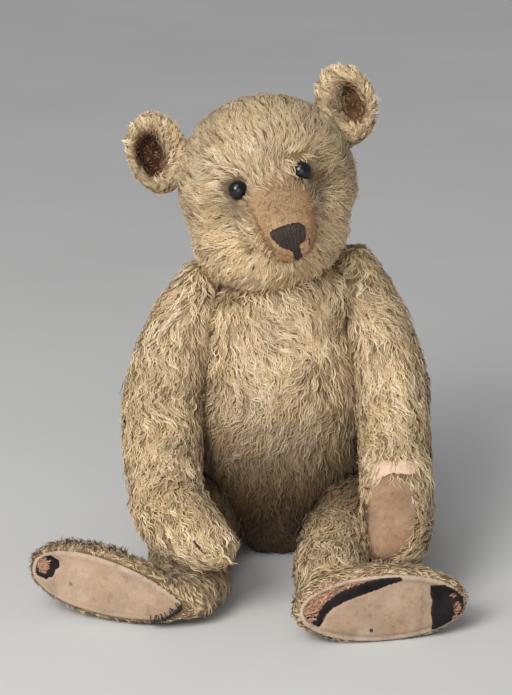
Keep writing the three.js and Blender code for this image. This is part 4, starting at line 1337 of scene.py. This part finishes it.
path = np.array([on_face(10.9 + 0.4 * math.sin(q), NOSE_Z - 4.6 - q, 0.4) for q in np.linspace(0, 4.6, 9)])
put(outward(make_mesh("nose_loose_stitch", *tube(path, np.linspace(0.5, 0.3, 9)))), "head", M_NOSE, "dark_thread")

# ------------------------------------------------------------------ the pile itself
VIEW = unit([-0.0, 1.0, -0.28])


def seen(n):
    return 0.62 + 0.38 * sstep(-0.25, 0.25, -(n @ VIEW))


def torso_weight(p, n):
    return near_disc(p, JOINT) * seen(n) * (1 - 0.9 * (p[:, 2] < 1.0)) * (1 - 0.75 * ((p[:, 2] < 8) & (n[:, 2] < -0.7)))


def torso_field(p, n, par):
    m = len(p)
    d = np.stack([0.10 * vn(p, 40, 1) + 0.0 * p[:, 0], np.full(m, -0.05), np.full(m, -1.0)], -1)
    d = tang(d, n)
    d = turn(d, n, 1.15 * vn(p, 30, 2) + 0.50 * vn(p, 11, 3) + RNG.normal(0, 0.13, m))
    # partly painted shade and partly the belly's own dirt: the front of the belly darkens towards the bottom, down to
    # 0.16 of its colour, with a lower tone
    low = sstep(142, 44, p[:, 2]) * sstep(10, -30, p[:, 1])
    return dict(d=d, len=15.4 + 2.6 * vn(p, 15, 4) - 3.0 * sstep(165, 195, p[:, 2]), lift=0.40 + 0.14 * vn(p, 8, 5), amp=1.05 + 0.3 * vn(p, 12, 6), wl=8.6 + 1.4 * vn(p, 14, 7),
                wid=np.full(m, 0.82), drop=np.full(m, 0.020), curl=par["curl"] * 1.1, tone=par["tone"] + 0.30 * vn(p, 18, 8) - 0.35 * low,
                tint=mix(np.ones((m, 3)), np.array([0.16, 0.125, 0.10]), low[:, None] ** 0.95))


def axis_of(st):
    u = np.linspace(0, 1, 120)
    r = rows(st, u)
    return r[:, :3], unit(np.gradient(r[:, :3], axis=0))


def along(st, p):
    c, t = axis_of(st)
    d = ((p[:, None] - c[None]) ** 2).sum(-1)
    i = d.argmin(1)
    return t[i], i / 119.0


def arm_weight(side):
    pw = PAW[side]
    c, n0 = np.array(pw["c"], float), unit(pw["n"])
    u0 = np.array(pw["along"], float)
    u0 = unit(u0 - n0 * (u0 @ n0))
    v0 = np.cross(n0, u0)
    outline = LEFT_PAD if side == "left" else [(23 * math.cos(t), 15 * math.sin(t)) for t in np.linspace(0, 6.28, 24)]

    def f(p, n):
        q = p - c
        on = (poly_sdf(q @ u0, q @ v0, outline) < -0.2) & (q @ n0 > 4)
        if side == "left":
            on |= (poly_sdf(q @ u0, q @ v0, REMNANT) < -1.0) & (q @ n0 > 4)
        flat = near_disc(p, ["shoulder_" + side], 12)
        return np.where(on, 0, 1) * seen(n) * flat
    return f


def arm_field(side):
    def f(p, n, par):
        m = len(p)
        t, u = along(ARM[side], p)
        t = t + np.array([0, 0, -0.25])
        d = turn(tang(t, n), n, 0.95 * vn(p, 26, 12) + 0.48 * vn(p, 10, 13) + RNG.normal(0, 0.15, m))
        top = 1 - sstep(0.06, 0.22, u)
        end = sstep(0.82, 1.0, u)
        return dict(d=d, len=(13.8 + 2.2 * vn(p, 14, 14) - 1.8 * end) * (1 - 0.30 * top), lift=(0.42 + 0.14 * vn(p, 8, 15)) * (1 - 0.35 * top), amp=1.0 + 0.3 * vn(p, 12, 16), wl=8.0 + 1.4 * vn(p, 14, 17),
                    wid=np.full(m, 0.80), drop=np.full(m, 0.030), curl=par["curl"], tone=par["tone"] + 0.28 * vn(p, 16, 18), tint=np.ones((m, 3)) * (0.96 + 0.07 * vn(p, 20, 19))[:, None])
    return f


def leg_weight(side):
    def f(p, n):
        a, b, h, s = foot_coords(side, p)
        sole = (h > -4.5) & (s < -2.4) & (np.abs(n @ foot_frame(side)[2]) > 0.35)
        under = (p[:, 2] < 1.2) & (n[:, 2] < -0.6)
        return np.where(sole, 0, 1) * seen(n) * near_disc(p, ["hip_" + side], 12) * np.where(under, 0.12, 1)
    return f


def leg_field(side):
    c, ft, fn, fu, ff = foot_frame(side)

    def f(p, n, par):
        m = len(p)
        t, u = along(LEG[side], p)
        a, b, h, s = foot_coords(side, p)
        foot = sstep(-38, -22, h) * (s < 14)
        d = tang(t + np.array([0, 0, -0.30]), n)
        rim = sstep(-9, -2, h)
        radial = unit(np.outer(a, ft) + np.outer(b, fu))
        d2 = tang(fn * 0.45 + radial * 0.35 + ft * (0.85 if side == "left" else -0.35), n)
        d = unit(mix(d, d2, foot[:, None]))
        d = turn(tang(d, n), n, 0.62 * vn(p, 22, 22) + 0.40 * vn(p, 9, 23) + RNG.normal(0, 0.14, m))
        ln = 13.6 + 2.0 * vn(p, 14, 24)
        under = sstep(0.1, -0.5, n[:, 2])
        ln = np.where(foot > 0.3, np.minimum(ln, 3.9 - 1.2 * under + np.clip(-h - 1.5, 0, 14) * 0.50), ln)
        # painted shade: the legs darken towards the body, where the thighs lie in shade, and the right leg is dimmed
        # overall (0.84 against 0.92)
        dark = sstep(-135, -60, p[:, 1]) * 0.9
        return dict(d=d, len=ln, lift=0.38 + 0.12 * vn(p, 8, 25) - 0.12 * under * foot, amp=(0.78 + 0.25 * vn(p, 12, 26)) * (1 - 0.35 * foot), wl=9.6 + 1.6 * vn(p, 14, 27),
                    wid=np.full(m, 0.80), drop=np.full(m, 0.022), curl=par["curl"], tone=par["tone"] + 0.28 * vn(p, 16, 28) - dark * 0.25, tint=mix(np.ones((m, 3)) * (0.84 if side == "right" else 0.92), np.array([0.27, 0.225, 0.18]), dark[:, None]))
    return f


def head_weight(p, n):
    x, f, z = to_head(p)
    w = near_disc(p, ["neck"], 16) * (0.8 + 0.2 * sstep(-10, 10, f))
    bd = bare_dist(p)
    w = w * (0.04 + 0.15 * sstep(0, 9, z) + (0.96 - 0.15 * sstep(0, 9, z)) * sstep(-5.0, 4, bd + 4.2 * vn(p, 4.5, 31)))
    for ex, ez in EYES.values():
        w = w * np.where((np.hypot(x - ex, z - ez) < 5.2) & (f > 20), 0, 1)
    w = w * np.where((poly_sdf(x, z - NOSE_Z, NOSE_ST) < 1.0) & (f > 50), 0, 1)
    return w * (1 + 0.35 * sstep(0, 30, f))


def head_field(p, n, par):
    m = len(p)
    x, f, z = to_head(p)
    d = p - H(0, 84, -14)
    d = tang(d, n)
    down = tang(np.broadcast_to(-HZ, p.shape), n)
    d = unit(mix(d, down, sstep(0, -38, f)[:, None] * 0.95))
    d = unit(d + down * (0.45 * sstep(8, -25, z))[:, None])
    brow = np.exp(-((x - 17.5) / 6.5) ** 2 - ((z - 19.5) / 4.5) ** 2) * (f > 15)
    d = unit(mix(d, down, np.clip(brow * 1.6, 0, 1)[:, None]))
    d = turn(tang(d, n), n, (0.62 * vn(p, 24, 32) + 0.40 * vn(p, 10, 33)) * (1 - brow) + RNG.normal(0, 0.13, m))
    bd = bare_dist(p)
    base = 11.8 - 1.4 * sstep(12, 34, z) * sstep(-20, 10, f) + 3.0 * sstep(4, -26, z) + 1.8 * sstep(0, -30, f) + 1.2 * vn(p, 12, 34)
    ln = base * (0.13 + 0.65 * sstep(-5, 2.5, bd + 2.4 * vn(p, 4.5, 39)) + 0.22 * sstep(2, 12, bd))
    eye = np.full(m, 99.0)
    for ex, ez in EYES.values():
        eye = np.minimum(eye, np.where(f > 20, np.hypot(x - ex, z - ez), 99))
    near = np.where(x > 0, 0.84 + 0.16 * sstep(6, 10, eye), 0.60 + 0.40 * sstep(6, 11, eye))
    ln = np.maximum(ln * near, 10.0 * brow)
    # painted shade: a dark ring round each eye and dark patches at the eyes' outer lower sides stand for the shade in
    # the eye sockets
    socket_shade = 0.92 * np.exp(-((np.maximum(eye - 5.6, 0)) / 1.7) ** 2)
    q = np.hypot((x - 25.5) / 6.0, (z - 4.5) / 8.5)
    socket_shade = np.maximum(socket_shade, 0.95 * np.exp(-q ** 2 * 1.1) * (f > 20))
    q = np.hypot((x + 22.5) / 5.5, (z - 3.0) / 7.0)
    socket_shade = np.maximum(socket_shade, 0.80 * np.exp(-q ** 2 * 1.1) * (f > 20))
    worn = (1 - sstep(-4, 3, bd))[:, None]
    tone = mix(0.82, 1.22, sstep(8, -24, z))[:, None] * (1 + 0.17 * vn(p, 8, 47))[:, None]
    tint = mix(np.ones((m, 3)) * tone, np.array([0.74, 0.58, 0.46]), 0.8 * worn)
    tint = mix(tint, np.array([0.17, 0.135, 0.11]), socket_shade[:, None])
    return dict(d=d, len=ln, clump=par["clump"] * 0.42, lift=0.23 + 0.80 * brow + 0.10 * vn(p, 8, 35) + 0.24 * sstep(10, -22, z) * sstep(50, 20, f), amp=(0.55 + 0.2 * vn(p, 12, 36)) * (0.7 + 0.9 * sstep(14, -12, z)) * (0.35 + 0.65 * sstep(0, 12, bd)), wl=6.6 + 1.0 * vn(p, 12, 37),
                wid=(0.56 + 0.14 * sstep(0, -25, z)) * (0.70 + 0.30 * sstep(-5, 4, bd)), drop=np.full(m, 0.020), curl=par["curl"] * 0.8, tone=0.04 + par["tone"] * 0.95 + 0.34 * vn(p, 15, 38), tint=tint,
                fair=np.full(m, 0.72))


def ear_weight(side):
    def f(p, n):
        rr, ex, ez = ear_ring(side, p)
        front = (p - EAR[side][0]) @ HF > -6.9
        rn = 0.5 * np.hypot((ex - EAR[side][2]) / HOLLOW[side][0], ez / HOLLOW[side][1])
        inner = (1 - sstep(0.36, 0.56, rn + 0.13 * vn(p, 4, 5))) * (n @ HF > 0.0)
        hidden = np.linalg.norm(p - H(0.8, -2, 3), axis=1) < 53
        return np.where(front, 1.15 - 0.72 * inner, 0.7) * np.where(hidden, 0, 1)
    return f


def ear_field(side):
    c, rx, ox = EAR[side]

    def f(p, n, par):
        m = len(p)
        rr, ex, ez = ear_ring(side, p)
        rad = unit(np.outer(ex - ox * 0.8, HX) + np.outer(ez, HZ))
        rn = 0.5 * np.hypot((ex - ox) / HOLLOW[side][0], ez / HOLLOW[side][1])
        inner = (1 - sstep(0.38, 0.62, rn)) * (n @ HF > 0.0)
        d = tang(rad * 0.55 + 0.70 * HZ + 0.25 * HF, n)
        d = turn(d, n, 0.75 * vn(p, 12, 42) + 0.4 * vn(p, 6, 43) + RNG.normal(0, 0.22, m))
        ln = 7.2 + 1.2 * vn(p, 8, 44) - 4.4 * inner - 3.0 * sstep(0.76, 1, rr)
        # painted shade: the pile in the hollow is tinted dark, darker on the right ear, for the shade in the cup
        tint = mix(np.ones((m, 3)), np.array([0.22, 0.12, 0.08]) if side == "right" else np.array([0.34, 0.22, 0.14]), (inner * 0.95)[:, None])
        return dict(d=d, len=ln, lift=0.42 + 0.15 * vn(p, 6, 45) - 0.2 * inner, amp=0.62 * np.ones(m), wl=np.full(m, 6.0), wid=np.full(m, 0.68), drop=0.05 * sstep(0.7, 1.0, rr) + 0.012,
                    curl=par["curl"] * 1.3, tone=par["tone"] + 0.25 * vn(p, 9, 46) - 0.05, tint=tint)
    return f


pile("torso_pile", "torso", torso, 16600, 3.5, torso_weight, torso_field, 6, 2, ("torso_cover",))
pile("head_pile", "head", head, 25600, 3.0, head_weight, head_field, 4, 2, ("head_cover",))
for sd in ("right", "left"):
    pile(f"arm_{sd}_pile", f"arm_{sd}", arms[sd], 9700, 3.4, arm_weight(sd), arm_field(sd), 6, 1, (f"arm_{sd}_cover",))
    pile(f"leg_{sd}_pile", f"leg_{sd}", legs[sd], 7800, 3.2, leg_weight(sd), leg_field(sd), 6, 1, (f"leg_{sd}_cover",))
    pile(f"ear_{sd}_pile", "head", ears[sd], 4200, 2.5, ear_weight(sd), ear_field(sd), 4, 1, (f"ear_{sd}",), "ear_mohair")

# claw stitches on the right paw
parts = []
for (p0, p1) in (((-52.5, -165, 56), (-46.5, -172, 49)), ((-38.5, -172, 52.5), (-35.5, -177, 46.5))):
    s = np.linspace(0, 1, 8)[:, None]
    line = np.array(p0) * (1 - s) + np.array(p1) * s
    path = []
    for q in line:
        near = arms["right"].bvh.find_nearest(Vector(q))
        path.append(np.array(near[0]) + np.array(near[1]) * 2.2)
    parts.append(tube(np.array(path), 0.75, 7))
put(outward(make_mesh("paw_right_claws", *joined(parts))), "arm_right", M_DARK, "dark_thread")

# ------------------------------------------------------------------ kept CAD pieces
for nm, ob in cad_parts.items():
    mat = None
    if "stuffing" in nm:
        mat = M_SHAV
    elif "disc" in nm:
        mat = M_BOARD
    elif "washer" in nm or nm.endswith("_pin"):
        mat = M_STEEL
    if mat:
        for slot in ob.material_slots:
            slot.link = "OBJECT"
            slot.material = mat

# ------------------------------------------------------------------ stage
fl = make_mesh("floor", np.array([[-9000, -9000, 0], [9000, -9000, 0], [9000, 9000, 0], [-9000, 9000, 0]], float), [(0, 1, 2, 3)])
m, nt, b = nodes_of("pale_floor")
n = noise_tex(nt, coord(nt), 3, 3)
lk(nt, ramp(nt, n, [(0.3, (0.60, 0.60, 0.60)), (0.7, (0.64, 0.64, 0.635))]), b.inputs["Base Color"])
b.inputs["Roughness"].default_value = 0.9
fl.data.materials.append(m)
fl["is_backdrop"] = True


def lamp(name, where, at, size, power, col=(1, 1, 1)):
    d = bpy.data.lights.new(name, "AREA")
    d.shape, d.size, d.energy, d.color = "DISK", size, power, col
    ob = link(bpy.data.objects.new(name, d))
    ob.location = where
    ob.rotation_euler = (Vector(at) - Vector(where)).to_track_quat("-Z", "Y").to_euler()
    return ob


mid = (0, -0.06, 0.14)
lamp("key", (-0.85, -1.55, 1.15), mid, 1.0, 31.5, (1.0, 0.985, 0.955))
lamp("low_front", (0.15, -2.0, 0.42), mid, 1.3, 7.5)
sun = bpy.data.lights.new("even", "SUN")
sun.energy, sun.angle = 0.75, 0.6
so = link(bpy.data.objects.new("even", sun))
so.rotation_euler = Vector((0.35, 0.75, -1.1)).to_track_quat("-Z", "Y").to_euler()
w = bpy.data.worlds.new("studio")
bpy.context.scene.world = w
w.use_nodes = True
w.node_tree.nodes["Background"].inputs[0].default_value = (0.86, 0.87, 0.88, 1)
w.node_tree.nodes["Background"].inputs[1].default_value = 0.30
bpy.context.scene.view_settings.view_transform = "Standard"

cam = bpy.data.cameras.new("camera")
cam.lens, cam.sensor_width, cam.clip_end = 139.46, 36.0, 100
co = link(bpy.data.objects.new("camera", cam))
co.location = (-0.0155, -1.6822, 0.6114)
co.rotation_euler = (math.radians(74), 0, 0)
bpy.context.scene.camera = co

lo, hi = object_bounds()
